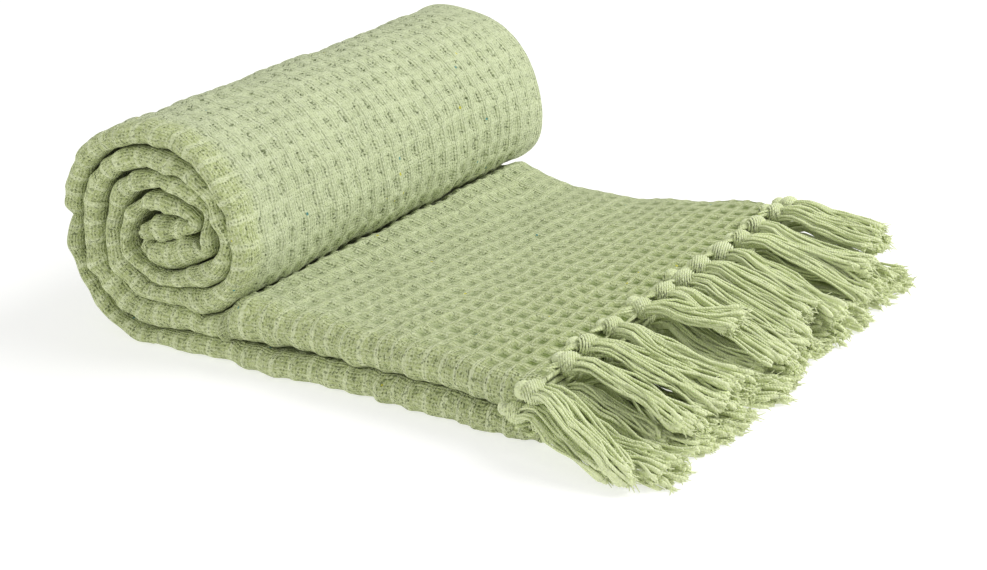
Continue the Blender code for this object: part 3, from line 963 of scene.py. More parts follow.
@dataclass(frozen=True)
class Flecks:
    """Rare bright fibres of other colours that were spun in: a dot in a few of the squares."""
    colours: tuple[str, str] = ("#5F9A92", "#CFCB4A")
    square: float = 0.005
    common: float = 0.987
    dot: float = 0.20

    def build(self, nodes: Nodes, uv: Socket, colour: Socket) -> Socket:
        """Adds the flecks to a colour.

        Args:
            nodes: the material's nodes.
            uv: the cloth coordinates.
            colour: the colour without them.

        Returns:
            The colour with them.
        """
        add = nodes.add
        squares = add("TexVoronoi", inputs={"Vector": uv, "Scale": 1 / self.square}).node.outputs
        chance = add("SeparateColor", squares["Color"]).node.outputs
        is_rare = add("GREATER_THAN", chance[0], self.common)
        is_near = add("LESS_THAN", squares["Distance"], self.dot)
        first, second = map(linear, self.colours)
        fleck = add("Mix", inputs={0: add("GREATER_THAN", chance[1], 0.5), 6: first, 7: second},
                    output=2, data_type="RGBA")
        return add("Mix", inputs={0: add("MULTIPLY", is_rare, is_near), 6: colour, 7: fleck},
                   output=2, data_type="RGBA")


@dataclass(frozen=True)
class WaffleCotton:
    """Sage waffle cotton, woven from soft two-ply yarn: no gloss, pale floats side by side along
    the ridges with a slight painted highlight on the yarns' tops, small dark holes where they
    meet on a cell's diagonals, darkened as painted shade, a darker, warmer green in the pits as
    painted shade, a paler painted sheen over the roll, and a few coloured fibres. A wobble is the
    size of a noise and how far it moves the yarns. The tone and the bump's height are sums of
    parts, each times its weight."""
    cell: float
    gaps: Gaps = Gaps()
    flecks: Flecks = Flecks()
    yarns_in_half_cell: int = 3
    stops: tuple = ((0.22, "#8E9E56"), (0.58, "#B7C284"), (0.95, "#D8E0B4"))
    # painted shade in the pits: a darker, warmer green
    pit_shade: str = "#74863A"
    # painted sheen on the roll, where the key light falls: a paler green
    roll_sheen: str = "#D8E0C4"
    # painted shade in the gaps between the yarns: a dark olive
    hole: str = "#4C5F16"
    # how much of the roll's painted sheen is mixed in
    roll_sheen_share: float = 0.40
    wobbles: tuple = ((0.0070, 0.0018), (0.0026, 0.0014))
    mottle_size: float = 0.0100
    patch_size: float = 0.0028
    grain_size: float = 0.0010
    fibre_size: float = 0.0005
    fibre_slimness: float = 0.38
    fold_zone: Range = (0.014, 0.026)
    fold_lines: Range = (0.66, 0.92)
    pit_zone: Range = (0.85, 0.15)
    quiet_share: float = 0.75
    # how much painted shade the pits get on the roll, to which the flat run adds how far its cells are drawn
    # together, and the share of it that stays along the near fold
    roll_pit_shade: float = 0.12
    fold_pit_shade: float = 0.18
    tone_start: float = -0.505
    # in the tone, crown and under lighten the yarns' tops a little: a painted highlight
    tone_weights: tuple = (("crown", 0.16), ("under", 0.05), ("streaks", 0.70), ("grain", 0.68),
                           ("patches", 0.62), ("mottle", 0.20), ("fold_lines", 0.21))
    height_weights: tuple = (("under", 0.20), ("crown", 0.55), ("streaks", 0.55), ("grain", 0.60),
                             ("patches", 0.45), ("hole", -0.90))
    yarn_height: float = 0.0012
    roughness: float = 0.95
    sheen: float = 0.06
    sheen_roughness: float = 0.5

    def build(self) -> bpy.types.Material:
        """Makes the material on the cloth's own UV map, which is in metres.

        With a and b the shares of the way from the middle of a cell to its lines in the two
        directions, the floats run along the nearer line, so they lie in squares about the
        middle, and their crowns are a triangle wave of the larger share, which also lightens the
        tone a little as a painted highlight on the yarns' tops. The holes are where both waves are
        low, near the diagonals a = b, and there the colour is darkened as painted shade.
        """
        material, nodes = new_material("waffle_cotton")
        add = nodes.add
        uv = add("UVMap", uv_map="UVMap")
        moved = uv
        for size, amount in self.wobbles:
            moved = self.wobbled(nodes, moved, size, amount)
        across, along = add("SeparateXYZ", moved).node.outputs[:2]
        shares, crowns = [], []
        for place in (across, along):
            fold = add("PINGPONG", add("DIVIDE", place, self.cell), 0.5)
            shares.append(add("MULTIPLY_ADD", fold, -2.0, 1.0))
            yarns = add("MULTIPLY", shares[-1], float(self.yarns_in_half_cell))
            crowns.append(add("MULTIPLY", add("PINGPONG", yarns, 0.5), 2.0))
        a_is_nearer = add("GREATER_THAN", *shares)
        drawn = add("Attribute", output="Fac", attribute_name="drawn")
        off_fold = add("MapRange", add("ABSOLUTE", across), *self.fold_zone, interpolation_type="SMOOTHSTEP")
        patches = add("TexNoise", inputs={"Vector": uv, "Scale": 1 / self.patch_size, "Detail": 1.0})
        off_diagonal = add("ABSOLUTE", add("SUBTRACT", *shares))
        weave = Weave(moved, across, shares, crowns, patches, off_diagonal, off_fold, drawn)
        quiet = add("SUBTRACT", 1.0, add("MAXIMUM", a_is_nearer, drawn))
        crown = add("Mix", inputs={0: a_is_nearer, 2: crowns[1], 3: crowns[0]})
        lines = add("MapRange", shares[1], *self.fold_lines, interpolation_type="SMOOTHSTEP")
        # the gaps' painted shade, which also sinks the bump a little
        hole = self.gaps.build(nodes, weave, self.cell)
        parts = {
            # a painted highlight on the tops of the yarns
            "crown": add("Mix", inputs={0: add("MULTIPLY", quiet, self.quiet_share), 2: crown, 3: 0.5}),
            "under": add("Mix", inputs={0: a_is_nearer, 2: crowns[0], 3: crowns[1]}),
            "streaks": self.fibres(nodes, across, along, a_is_nearer),
            "grain": add("TexNoise", inputs={"Vector": uv, "Scale": 1 / self.grain_size, "Detail": 2.0,
                                             "Roughness": 0.7}),
            "patches": patches,
            "mottle": add("TexNoise", inputs={"Vector": uv, "Scale": 1 / self.mottle_size, "Detail": 3.0}),
            "fold_lines": add("MULTIPLY", lines, add("SUBTRACT", 1.0, off_fold)),
            "hole": hole,
        }
        colour = add("ValToRGB", self.weighed(nodes, parts, self.tone_weights, self.tone_start))
        set_stops(colour.node.color_ramp, self.stops)
        # painted shade in the pits, most on the flat run and least along the near fold; then the roll's
        # painted sheen and the painted shade in the gaps
        in_pit = add("MapRange", add("MAXIMUM", *shares), *self.pit_zone, interpolation_type="SMOOTHSTEP")
        pit_shade_share = add("MULTIPLY", in_pit, add("MULTIPLY_ADD", drawn, 1.0, self.roll_pit_shade))
        pit_shade_share = add("MULTIPLY", pit_shade_share, add("MULTIPLY_ADD", off_fold, 1 - self.fold_pit_shade, self.fold_pit_shade))
        # painted sheen over the roll, away from the near fold
        painted_sheen = add("MULTIPLY", add("SUBTRACT", 1.0, drawn), off_fold)
        painted_sheen = add("MULTIPLY", painted_sheen, self.roll_sheen_share)
        for share, other in ((pit_shade_share, self.pit_shade), (painted_sheen, self.roll_sheen), (hole, self.hole)):
            colour = add("Mix", inputs={0: share, 6: colour, 7: linear(other)}, output=2, data_type="RGBA")
        height = self.weighed(nodes, parts, self.height_weights, 0.0)
        nodes.feed(nodes.tree.nodes["Principled BSDF"], {
            "Base Color": self.flecks.build(nodes, uv, colour),
            "Normal": add("Bump", inputs={"Height": height, "Distance": self.yarn_height}),
            "Roughness": self.roughness, "Sheen Weight": self.sheen,
            "Sheen Roughness": self.sheen_roughness})
        return material

    def weighed(self, nodes: Nodes, parts: dict[str, Socket], weights: tuple, start: float) -> Socket:
        """A start plus each part times its weight.

        Args:
            nodes: the material's nodes.
            parts: the parts by name.
            weights: pairs of a name and a weight.
            start: the start.

        Returns:
            The sum.
        """
        total = start
        for name, weight in weights:
            total = nodes.add("MULTIPLY_ADD", parts[name], weight, total)
        return total

    def wobbled(self, nodes: Nodes, place: Socket, size: float, amount: float) -> Socket:
        """Moves a place by a noise, so that no yarn runs quite straight.

        Args:
            nodes: the material's nodes.
            place: the place.
            size: the size of the noise.
            amount: how far it moves a place.

        Returns:
            The moved place.
        """
        noise = nodes.add("TexNoise", inputs={"Vector": place, "Scale": 1 / size, "Detail": 1.0},
                          output="Color")
        shift = nodes.add("VectorMath", noise, (0.5, 0.5, 0.5), operation="SUBTRACT")
        return nodes.add("VectorMath", shift, (amount, amount, 0.0), place, operation="MULTIPLY_ADD")

    def fibres(self, nodes: Nodes, across: Socket, along: Socket, a_is_nearer: Socket) -> Socket:
        """Fine streaks along the floats: a noise drawn out along the way that they run.

        Args:
            nodes: the material's nodes.
            across: the cloth coordinate across.
            along: the one along.
            a_is_nearer: 1 where the floats run along the cloth and 0 where they run across it.

        Returns:
            The noise.
        """
        add, slim = nodes.add, self.fibre_slimness
        way_along = add("Mix", inputs={0: a_is_nearer, 2: 1.0, 3: slim})
        way_across = add("Mix", inputs={0: a_is_nearer, 2: slim, 3: 1.0})
        place = add("CombineXYZ", add("MULTIPLY", across, way_across), add("MULTIPLY", along, way_along))
        return add("TexNoise", inputs={"Vector": place, "Scale": 1 / self.fibre_size, "Detail": 2.0,
                                       "Roughness": 0.6})


@dataclass(frozen=True)
class FringeYarn:
    """Two-ply cotton yarn, softly twisted: slanting plies with shade between them, each yarn a
    little lighter or darker than the next, and paler where the cut end has come untwisted."""
    name: str = "fringe_yarn"
    stops: tuple = ((0.18, "#B9C58A"), (0.55, "#D9E2B0"), (1.0, "#E6ECCA"))
    tip: str = "#E0E8B8"
    ply_spacing: float = 0.0016
    ply_height: float = 0.00045
    ply_tone: float = 0.35
    fibre_size: float = 0.0012
    fibre_tone: float = 0.7
    fibre_height: float = 0.6
    scatter: float = 0.22
    scatter_radius: tuple[float, float, float] = (1.0, 1.0, 0.7)
    scatter_depth: float = 0.0006
    roughness: float = 0.95
    sheen: float = 0.12
    sheen_roughness: float = 0.5

    def build(self) -> bpy.types.Material:
        """Makes the material on the yarns' UV map: U is the share of the way round, V metres
        along. The two plies are a triangle wave of twice U plus V over their spacing."""
        material, nodes = new_material(self.name)
        add = nodes.add
        around, along = add("SeparateXYZ", add("UVMap", uv_map="UVMap")).node.outputs[:2]
        turned = add("MULTIPLY_ADD", along, 1 / self.ply_spacing, add("MULTIPLY", around, 2.0))
        ply = add("PINGPONG", turned, 0.5)
        fibres = add("TexNoise", inputs={"Vector": add("TexCoord", output="Object"), "Detail": 3.0,
                                         "Scale": 1 / self.fibre_size, "Roughness": 0.6})
        own = add("Attribute", output="Fac", attribute_name="tone")
        cut = add("Attribute", output="Fac", attribute_name="tip")
        tone = add("MULTIPLY_ADD", ply, self.ply_tone, own)
        colour = add("ValToRGB", add("MULTIPLY_ADD", fibres, self.fibre_tone, tone))
        set_stops(colour.node.color_ramp, self.stops)
        colour = add("Mix", inputs={0: cut, 6: colour, 7: linear(self.tip)}, output=2, data_type="RGBA")
        height = add("MULTIPLY_ADD", fibres, self.fibre_height, ply)
        nodes.feed(nodes.tree.nodes["Principled BSDF"], {
            "Base Color": colour,
            "Normal": add("Bump", inputs={"Height": height, "Distance": self.ply_height}),
            "Roughness": self.roughness, "Sheen Weight": self.sheen,
            "Sheen Roughness": self.sheen_roughness, "Subsurface Weight": self.scatter,
            "Subsurface Radius": self.scatter_radius, "Subsurface Scale": self.scatter_depth})
        return material


@dataclass
class Yarns:
    """Many yarns of one kind, each a closed tube along its own path."""
    paths: Array
    radius: Array
    tone: Array
    tip: Array
    reference: tuple[float, float, float] = (0.0, 0.0, 1.0)
    sides: int = 5

    def tube_points(self) -> Array:
        """Points of all tubes: each path point plus its radius times the cosine and sine of the
        way round, along two directions square to the path."""
        forward = np.gradient(self.paths, axis=1)
        forward /= np.linalg.norm(forward, axis=2, keepdims=True)
        side = np.cross(forward, np.array(self.reference))
        side /= np.maximum(np.linalg.norm(side, axis=2, keepdims=True), 1e-9)
        top = np.cross(side, forward)
        angle = np.arange(self.sides) / self.sides * 2 * math.pi
        around = (side[:, :, None] * np.cos(angle)[:, None] + top[:, :, None] * np.sin(angle)[:, None])
        return self.paths[:, :, None] + around * self.radius[:, :, None, None]

    def build(self, name: str) -> bpy.types.Object:
        """Makes one mesh of all the tubes, with the tone and tip of each point as attributes.

        Args:
            name: the piece's name.

        Returns:
            The new object.
        """
        points = self.tube_points()
        count, rows, sides = points.shape[:3]
        index = np.arange(count * rows * sides).reshape(count, rows, sides)
        after = np.roll(index, -1, axis=2)
        quads = np.stack([index[:, :-1], after[:, :-1], after[:, 1:], index[:, 1:]], axis=-1)
        starts, ends = index[:, 0, ::-1], index[:, -1]
        faces = quads.reshape(-1, 4).tolist() + starts.tolist() + ends.tolist()
        mesh = bpy.data.meshes.new(name)
        mesh.from_pydata(points.reshape(-1, 3), [], faces)
        length = np.linalg.norm(np.diff(self.paths, axis=1), axis=2)
        along = np.concatenate([np.zeros((count, 1)), np.cumsum(length, axis=1)], axis=1)
        way = np.arange(sides) / sides
        u0 = np.broadcast_to(way, (count, rows - 1, sides))
        v0 = np.broadcast_to(along[:, :-1, None], u0.shape)
        v1 = np.broadcast_to(along[:, 1:, None], u0.shape)
        u1 = u0 + 1 / sides
        corners = np.stack([np.stack([u0, v0], -1), np.stack([u1, v0], -1),
                            np.stack([u1, v1], -1), np.stack([u0, v1], -1)], axis=-2).reshape(-1, 2)
        caps = np.zeros((2 * count * sides, 2))
        piece = finished(name, mesh, np.concatenate([corners, caps]))
        for attribute, values in (("tone", self.tone), ("tip", self.tip)):
            made = mesh.attributes.new(attribute, "FLOAT", "POINT")
            spread = np.broadcast_to(values[:, :, None], (count, rows, sides))
            made.data.foreach_set("value", spread.astype(np.float32).ravel())
        return piece


@dataclass(frozen=True)
class Knots:
    """The knots: each a ball with a smaller one behind it, its collar, both wound from a coil of
    yarn whose axis lies aslant."""
    radii: tuple[float, float, float] = (0.0060, 0.0066, 0.0060)
    turns: int = 10
    steps_in_turn: int = 10
    coil_end: float = 0.96
    slant: Range = (0.10, 0.85)
    tilt: Range = (-0.25, 0.25)
    size: Range = (0.90, 1.12)
    yarn: float = 0.00084
    yarn_change: Range = (0.9, 1.15)
    tone: Range = (0.10, 0.26)
    collar_back: float = 0.0060
    collar_drop: float = 0.0006
    collar_change: float = 0.0008
    collar_size: float = 0.68

    def lowest(self) -> float:
        """The height of a knot's middle when it lies on the ground."""
        return self.radii[2] + self.yarn * 0.5

    def yarns(self, roots: Array, draw: np.random.Generator) -> Yarns:
        """The coils.

        With c from -1 to 1 along the coil, a point is the centre plus c times the axis and the
        root of 1 - c² times the way round, scaled by the ball's three radii.

        Args:
            roots: the middles of the knots.
            draw: the source of each one's own shape.

        Returns:
            A yarn for each ball.
        """
        collars = roots - np.array([self.collar_back, 0.0, self.collar_drop])
        centres = np.concatenate([roots, collars + draw.normal(0, self.collar_change, collars.shape)])
        steps = self.turns * self.steps_in_turn + 1
        count = len(centres)
        c = np.linspace(-self.coil_end, self.coil_end, steps)[None, :]
        around = np.sqrt(1 - c * c)
        angle = 2 * math.pi * self.turns * (c + 1) / 2 + draw.uniform(0, 2 * math.pi, (count, 1))
        slant = draw.uniform(*self.slant, (count, 1))
        tilt = draw.uniform(*self.tilt, (count, 1))
        aside, up = around * np.cos(angle), around * np.sin(angle)
        above = up * np.cos(tilt) + c * np.sin(tilt)
        ahead = c * np.cos(tilt) - up * np.sin(tilt)
        ball = np.stack([ahead * np.cos(slant) - aside * np.sin(slant),
                         ahead * np.sin(slant) + aside * np.cos(slant), above], axis=-1)
        size = draw.uniform(*self.size, (count, 1, 1))
        size[len(roots):] *= self.collar_size
        paths = centres[:, None] + ball * np.array(self.radii) * size
        paths[..., 2] = np.maximum(paths[..., 2], self.yarn * 1.05)
        radius = np.full((count, steps), self.yarn) * draw.uniform(*self.yarn_change, (count, 1))
        tone = draw.uniform(*self.tone, (count, 1)) + 0 * c
        return Yarns(paths, radius, tone, 0 * tone, (0.2, 0.3, 0.93), sides=4)


@dataclass(frozen=True)
class Gathers:
    """The warp ends between the cloth and the knots: from their places along the cut end they
    draw together into the knot, rising in a low arch."""
    yarns_in_knot: int = 16
    steps: int = 6
    run: float = 0.0075
    spread: float = 0.0095
    spread_in_knot: float = 0.0030
    arch: float = 0.0012
    sinking: float = 0.0012
    round_top: float = 0.0022
    place_change: float = 0.05
    start_change: float = 0.0005
    arch_change: float = 0.0004
    tone: Range = (-0.05, 0.15)

    def yarns(self, roots: Array, sides: Range, draw: np.random.Generator) -> Yarns:
        """The warp ends.

        Args:
            roots: the middles of the knots.
            sides: the cloth's two sides, which they stay between.
            draw: the source of each one's own shape.

        Returns:
            The yarns, as many for each knot.
        """
        count = len(roots) * self.yarns_in_knot
        root = np.repeat(roots, self.yarns_in_knot, axis=0)
        place = np.tile(np.linspace(-1, 1, self.yarns_in_knot), len(roots))[:, None]
        place = place + draw.normal(0, self.place_change, (count, 1))
        s = np.linspace(0, 1, self.steps)[None, :]
        x = root[:, :1] - self.run * (1 - s) + draw.normal(0, self.start_change, (count, 1))
        y = root[:, 1:2] + place * (self.spread * (1 - smooth_step(s)) + self.spread_in_knot)
        arch = self.arch * np.sin(math.pi * s) + draw.normal(0, self.arch_change, (count, 1))
        top = self.round_top * s * np.sqrt(np.clip(1 - place ** 2, 0, 1))
        z = root[:, 2:] - self.sinking * s + arch + top
        radius = YARN_RADIUS * draw.uniform(*YARN_CHANGE, (count, 1)) + 0 * s
        tone = draw.uniform(*self.tone, (count, 1)) + 0 * s
        return Yarns(np.stack([x, np.clip(y, *sides), z], axis=-1), radius, tone, 0 * tone)


@dataclass(frozen=True)
class Tufts:
    """The fluff of the cut ends: short fine fibres that leave each yarn's last stretch, fan out
    sideways and upwards, and bend a little."""
    fibres: int = 5
    length: float = 0.0040
    length_change: Range = (0.5, 1.1)
    radius: float = 0.00036
    taper: tuple[float, float, float] = (1.5, 1.1, 0.5)
    spread: tuple[float, float, float] = (0.15, 0.40, 0.30)
    bend: tuple[float, float, float] = (0.10, 0.35, 0.25)
    start_spread: float = 0.0010
    untwisted: float = 0.85

    def yarns(self, tassels: Yarns, draw: np.random.Generator) -> Yarns:
        """The fibres at the ends of a tier's yarns, each a bent line of three points.

        Args:
            tassels: the tier's yarns.
            draw: the source of each fibre's own shape.

        Returns:
            The fibres.
        """
        count = len(tassels.paths) * self.fibres
        share = draw.uniform(0.0, 1.0, (count, 1))
        last = np.repeat(tassels.paths[:, [-4, -1]], self.fibres, axis=0)
        forward = last[:, 1] - last[:, 0]
        start = last[:, 0] + forward * share
        forward = forward / np.linalg.norm(forward, axis=1, keepdims=True)
        spread = draw.normal(0, 1, (count, 3)) * self.spread
        bend = draw.normal(0, 1, (count, 3)) * self.bend
        s = np.array([0.0, 0.5, 1.0])[None, :, None]
        length = self.length * draw.uniform(*self.length_change, (count, 1, 1))
        start = start + spread * self.start_spread
        paths = start[:, None] + length * (s * (forward + spread)[:, None] + s ** 2 * bend[:, None])
        paths[..., 2] = np.maximum(paths[..., 2], self.radius * 2)
        radius = self.radius * np.array(self.taper) * np.ones((count, 1))
        tone = np.repeat(tassels.tone[:, -1:], self.fibres, axis=0) + np.zeros((1, 3))
        return Yarns(paths, radius, tone, np.full((count, 3), self.untwisted), sides=3)


@dataclass(frozen=True, kw_only=True)
class Tier:
    """One row of tassels: the strip whose node it replaces, the height of its roots, the heights
    at which it lies near and far, the run over which it comes down, how far its tips reach, how
    high its yarns rise over the knot, how much of their fall is an even arch, how far the nearest
    tassel leans out, where the knots lie across, and how far each tassel swings aside. Also how
    much less the nearest and the farthest reach and how far the nearest knot is drawn back, and
    where they are given, how much less each reaches and the height at which it lies."""
    strip: str
    root_height: float
    lying_near: float
    lying_far: float
    fall_run: float
    reach: float
    rise: float
    arch: float
    splay: float
    across: tuple
    swing: tuple
    near_short: float = 0.0
    far_short: float = 0.0
    drawn_back: float = 0.0
    less: tuple = ()
    lying: tuple = ()


@dataclass
class Fringe:
    """The knotted fringe of both cut ends, four tiers of tassels one above the other."""
    x_front: float
    y_middle: float
    knots: Knots = Knots()
    gathers: Gathers = Gathers()
    tufts: Tufts = Tufts()
    half_width: float = 0.1625
    side_room: float = 0.0170
    longest_reach: float = 0.335
    yarns_in_tassel: int = 27
    shares: tuple = (0.0, 0.08, 0.17, 0.28, 0.40, 0.53, 0.66, 0.78, 0.87, 0.93, 0.97, 1.0)
    flare: tuple = (1.0, 1.0, 1.0, 1.0, 1.0, 1.0, 1.0, 1.03, 1.15, 1.48, 1.66, 1.05)
    root_change_x: Range = (-0.0018, 0.0028)
    root_change_z: Range = (-0.0009, 0.0009)
    near_drop: float = 0.0032
    # how the tassels differ, and over how many tassels the near one's difference fades
    lean_change: float = 0.0015
    curl_change: float = 0.0045
    length_change: float = 0.0030
    splay_fade: float = 0.8
    short_fade: float = 2.2
    wide_fade: float = 0.5
    near_wider: float = 0.45
    # the tassel from which the far ones differ, and over how many
    far_reach: Range = (9.0, 3.0)
    far_lying: Range = (6.0, 6.0)
    # how the yarns of a tassel lie and differ
    innermost: float = 0.03
    yarn_length_change: float = 0.0018
    outer_shorter: float = 0.003
    lying_change: float = 0.0008
    hump_run: float = 0.022
    bundle_width: Range = (0.0054, 0.0062)
    bundle_height: Range = (0.0042, 0.0014)
    stray: float = 0.0012
    stray_side: float = 0.011
    stray_up: Range = (0.002, 0.006)
    wave_up: float = 0.0012
    wave_side: float = 0.0019
    most_waves: float = 2.6
    tone: Range = (-0.02, 0.14)
    untwisted: float = 0.75
    untwisted_from: float = 0.72
    tiers: tuple = (
        Tier(strip="fringe_lower", root_height=6.4, lying_near=2.2, lying_far=2.2, fall_run=26.0,
             reach=329.0, rise=0.5, arch=0.0, splay=4.0,
             across=(-146, -121, -98, -72, -47, -24, 1, 26, 51, 75, 100, 125, 148),
             swing=(2, 8, 7, -5, 6, 0, -6, 5, -4, 4, -6, -6, -6)),
        Tier(strip="fringe_lower", root_height=12.4, lying_near=5.0, lying_far=7.0, fall_run=34.0,
             reach=322.0, rise=2.5, arch=0.2, splay=4.0, near_short=2.0, far_short=-4.0,
             across=(-150, -124, -100, -76, -50, -26, -2, 24, 48, 73, 98, 124, 151),
             swing=(2, 10, -5, 8, -4, 7, 2, -7, 5, -3, -4, -2, -5)),
        Tier(strip="fringe_upper", root_height=21.5, lying_near=6.0, lying_far=19.0, fall_run=56.0,
             reach=316.0, rise=4.0, arch=0.5, splay=12.0, near_short=18.0, far_short=4.0, drawn_back=9.0,
             across=(-159, -132, -108, -80, -52, -28, -4, 20, 46, 72, 98, 126, 152),
             swing=(-10, 4, -8, 10, -6, 5, 10, -8, 4, -10, 8, 2, 8)),
        Tier(strip="fringe_upper", root_height=35.6, lying_near=6.0, lying_far=26.0, fall_run=66.0,
             reach=321.0, rise=2.5, arch=0.7, splay=4.0, drawn_back=1.0,
             across=(-160, -125, -102, -73, -41, -17, 7, 30, 58, 82, 111, 135, 154),
             swing=(-16, 8, 13, 11, 19, 0, -5, -4, -11, 14, 5, 9, 7),
             less=(7, 4, 1, 0, 27, -3, 0, 4, -4, -3, 2, 14, 20),
             lying=(6, 12, 14, 17, 29, 13, 16, 21, 19, 11, 23, 26, 28)),
    )

    def roots(self, tier: Tier, draw: np.random.Generator) -> Array:
        """Where a tier's knots lie: at its places across and at the cloth's end, each a little
        out of line, and the nearest one drawn down and back round the fold.

        Args:
            tier: the row of tassels.
            draw: the source of each one's own place.

        Returns:
            The middle of each knot.
        """
        y = self.y_middle + np.array(tier.across) * MM
        x = self.x_front + draw.uniform(*self.root_change_x, len(y))
        z = tier.root_height * MM + draw.uniform(*self.root_change_z, len(y))
        if tier.strip == "fringe_upper":
            x[0] -= tier.drawn_back * MM
            z[0] -= self.near_drop
        z = np.maximum(z, self.knots.lowest())
        return np.stack([x, y, z], axis=-1)

    def each(self, values: Array) -> Array:
        """One value of each tassel repeated for its yarns, as a column."""
        return np.repeat(values, self.yarns_in_tassel)[:, None]

    def waves(self, s: Array, count: int, fewest: float, draw: np.random.Generator) -> Array:
        """Waves along the yarns: the sine of the share of the way times a number of waves, plus
        a start, both drawn for each yarn.

        Args:
            s: the share of the way along a yarn.
            count: how many yarns there are.
            fewest: the smallest number of waves.
            draw: the source of each yarn's own waves.

        Returns:
            Heights from -1 to 1, a row for each yarn.
        """
        number = draw.uniform(fewest, self.most_waves, (count, 1))
        return np.sin(2 * math.pi * (s * number + draw.uniform(0, 1, (count, 1))))

    def kept_in(self, y: Array) -> Array:
        """Bends what leans out past the cloth's width back: beyond it, the distance is the room
        at the side times the hyperbolic tangent of the distance over that room."""
        past = np.maximum(np.abs(y - self.y_middle) - self.half_width, 0)
        return y - np.sign(y - self.y_middle) * (past - self.side_room * np.tanh(past / self.side_room))

    def hanging(self, tier: Tier, roots: Array, draw: np.random.Generator) -> Yarns:
        """The yarns of a tier's tassels.

        A yarn starts in the knot and ends at its tip. With s its share of the way, X grows
        evenly, Z rises in a short hump and then comes down by a smooth step to the lying height,
        and Y leaves the tassel's own line by the yarn's place in the bundle, which grows wider
        and flatter with s. Each yarn adds waves of its own, and a few stray far.

        Args:
            tier: the row of tassels.
            roots: where their knots lie.
            draw: the source of each yarn's own shape.

        Returns:
            The yarns with their radii and tones.
        """
        tassels = len(roots)
        count = tassels * self.yarns_in_tassel
        number = np.arange(tassels)
        s = np.array(self.shares)[None, :]
        root = np.repeat(roots, self.yarns_in_tassel, axis=0)
        turn = draw.uniform(0, 2 * math.pi, (count, 1))
        out = np.sqrt(draw.uniform(self.innermost, 1, (count, 1)))
        lean = self.each(np.array(tier.swing) * MM + draw.normal(0, self.lean_change, tassels)
                         - tier.splay * MM * np.exp(-number / self.splay_fade))
        curl = self.each(draw.normal(0, self.curl_change, tassels))
        short = tier.near_short * np.exp(-number / self.short_fade) + np.array(tier.less or 0.0)
        short = short + tier.far_short * smooth_step((number - self.far_reach[0]) / self.far_reach[1])
        begin = self.knots.radii[0] * 0.5
        length = self.x_front + (tier.reach - self.each(short)) * MM - CLOTH_END - begin - root[:, :1]
        length = length + self.each(draw.normal(0, self.length_change, tassels))
        length = length + draw.normal(0, self.yarn_length_change, (count, 1))
        length = length - self.outer_shorter * out ** 2
        x = root[:, :1] + begin + length * s
        fall = smooth_step(length * s / (tier.fall_run * MM))
        fall = fall + tier.arch * (s ** 1.6 - fall)
        farther = smooth_step((number - self.far_lying[0]) / self.far_lying[1])
        lying = tier.lying_near + (tier.lying_far - tier.lying_near) * farther
        low = self.each(np.array(tier.lying or lying) * MM)
        low = low + draw.normal(0, self.lying_change, (count, 1))
        hump = tier.rise * MM * np.sin(math.pi * np.clip(length * s / self.hump_run, 0, 1)) ** 1.2
        wide = self.bundle_width[0] + self.bundle_width[1] * smooth_step(s * 2.1)
        wide = wide * (1 + self.near_wider * self.each(np.exp(-number / self.wide_fade)))
        high = self.bundle_height[0] - self.bundle_height[1] * s
        stray = draw.standard_t(2.2, (count, 1)) * self.stray
        z = root[:, 2:] + (low - root[:, 2:]) * fall + hump + out * np.sin(turn) * high
        z = z + self.wave_up * self.waves(s, count, 0.8, draw) * s
        z = z + np.clip(np.abs(stray) - self.stray_up[0], 0, self.stray_up[1]) * s
        z = np.maximum(z, YARN_RADIUS * 1.05)
        y = root[:, 1:2] + lean * s ** 1.3 + out * np.cos(turn) * wide + curl * np.sin(math.pi * s)
        y = y + np.clip(stray, -self.stray_side, self.stray_side) * s ** 1.5
        y = y + draw.normal(0, self.wave_side, (count, 1)) * self.waves(s, count, 0.7, draw) * np.sqrt(s)
        y = self.kept_in(y)
        x = np.minimum(x, self.x_front + self.longest_reach - CLOTH_END)
        radius = YARN_RADIUS * draw.uniform(*YARN_CHANGE, (count, 1)) * np.array(self.flare)
        tone = draw.uniform(*self.tone, (count, 1)) + 0 * s
        tip = self.untwisted * smooth_step((s - self.untwisted_from) / (1 - self.untwisted_from)) + 0 * tone
        return Yarns(np.stack([x, y, z], axis=-1), radius, tone, tip)

    def build(self, material: bpy.types.Material,
              fluff: bpy.types.Material) -> dict[str, list[bpy.types.Object]]:
        """Makes all tiers.

        Args:
            material: the yarn's finish.
            fluff: the finish of the cut ends.

        Returns:
            The pieces of each strip.
        """
        made: dict[str, list[bpy.types.Object]] = {}
        for number, tier in enumerate(self.tiers, start=1):
            draw = np.random.default_rng(100 + number)
            roots = self.roots(tier, draw)
            hanging = self.hanging(tier, roots, draw)
            fibres = self.tufts.yarns(hanging, draw)
            fibres.paths[..., 1] = self.kept_in(fibres.paths[..., 1])
            sides = self.y_middle - self.half_width, self.y_middle + self.half_width
            parts = {"tassels": hanging, "tufts": fibres, "knots": self.knots.yarns(roots, draw),
                     "gathers": self.gathers.yarns(roots, sides, draw)}
            pieces = []
            for kind, yarns in parts.items():
                piece = yarns.build(f"{kind}_tier_{number}")
                piece.data.materials.append(fluff if kind == "tufts" else material)
                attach(piece, "root")
                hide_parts(tier.strip)
                pieces.append(piece)
                LOG.info("%s: %d faces", piece.name, len(piece.data.polygons))
            made.setdefault(tier.strip, []).extend(pieces)
        return made


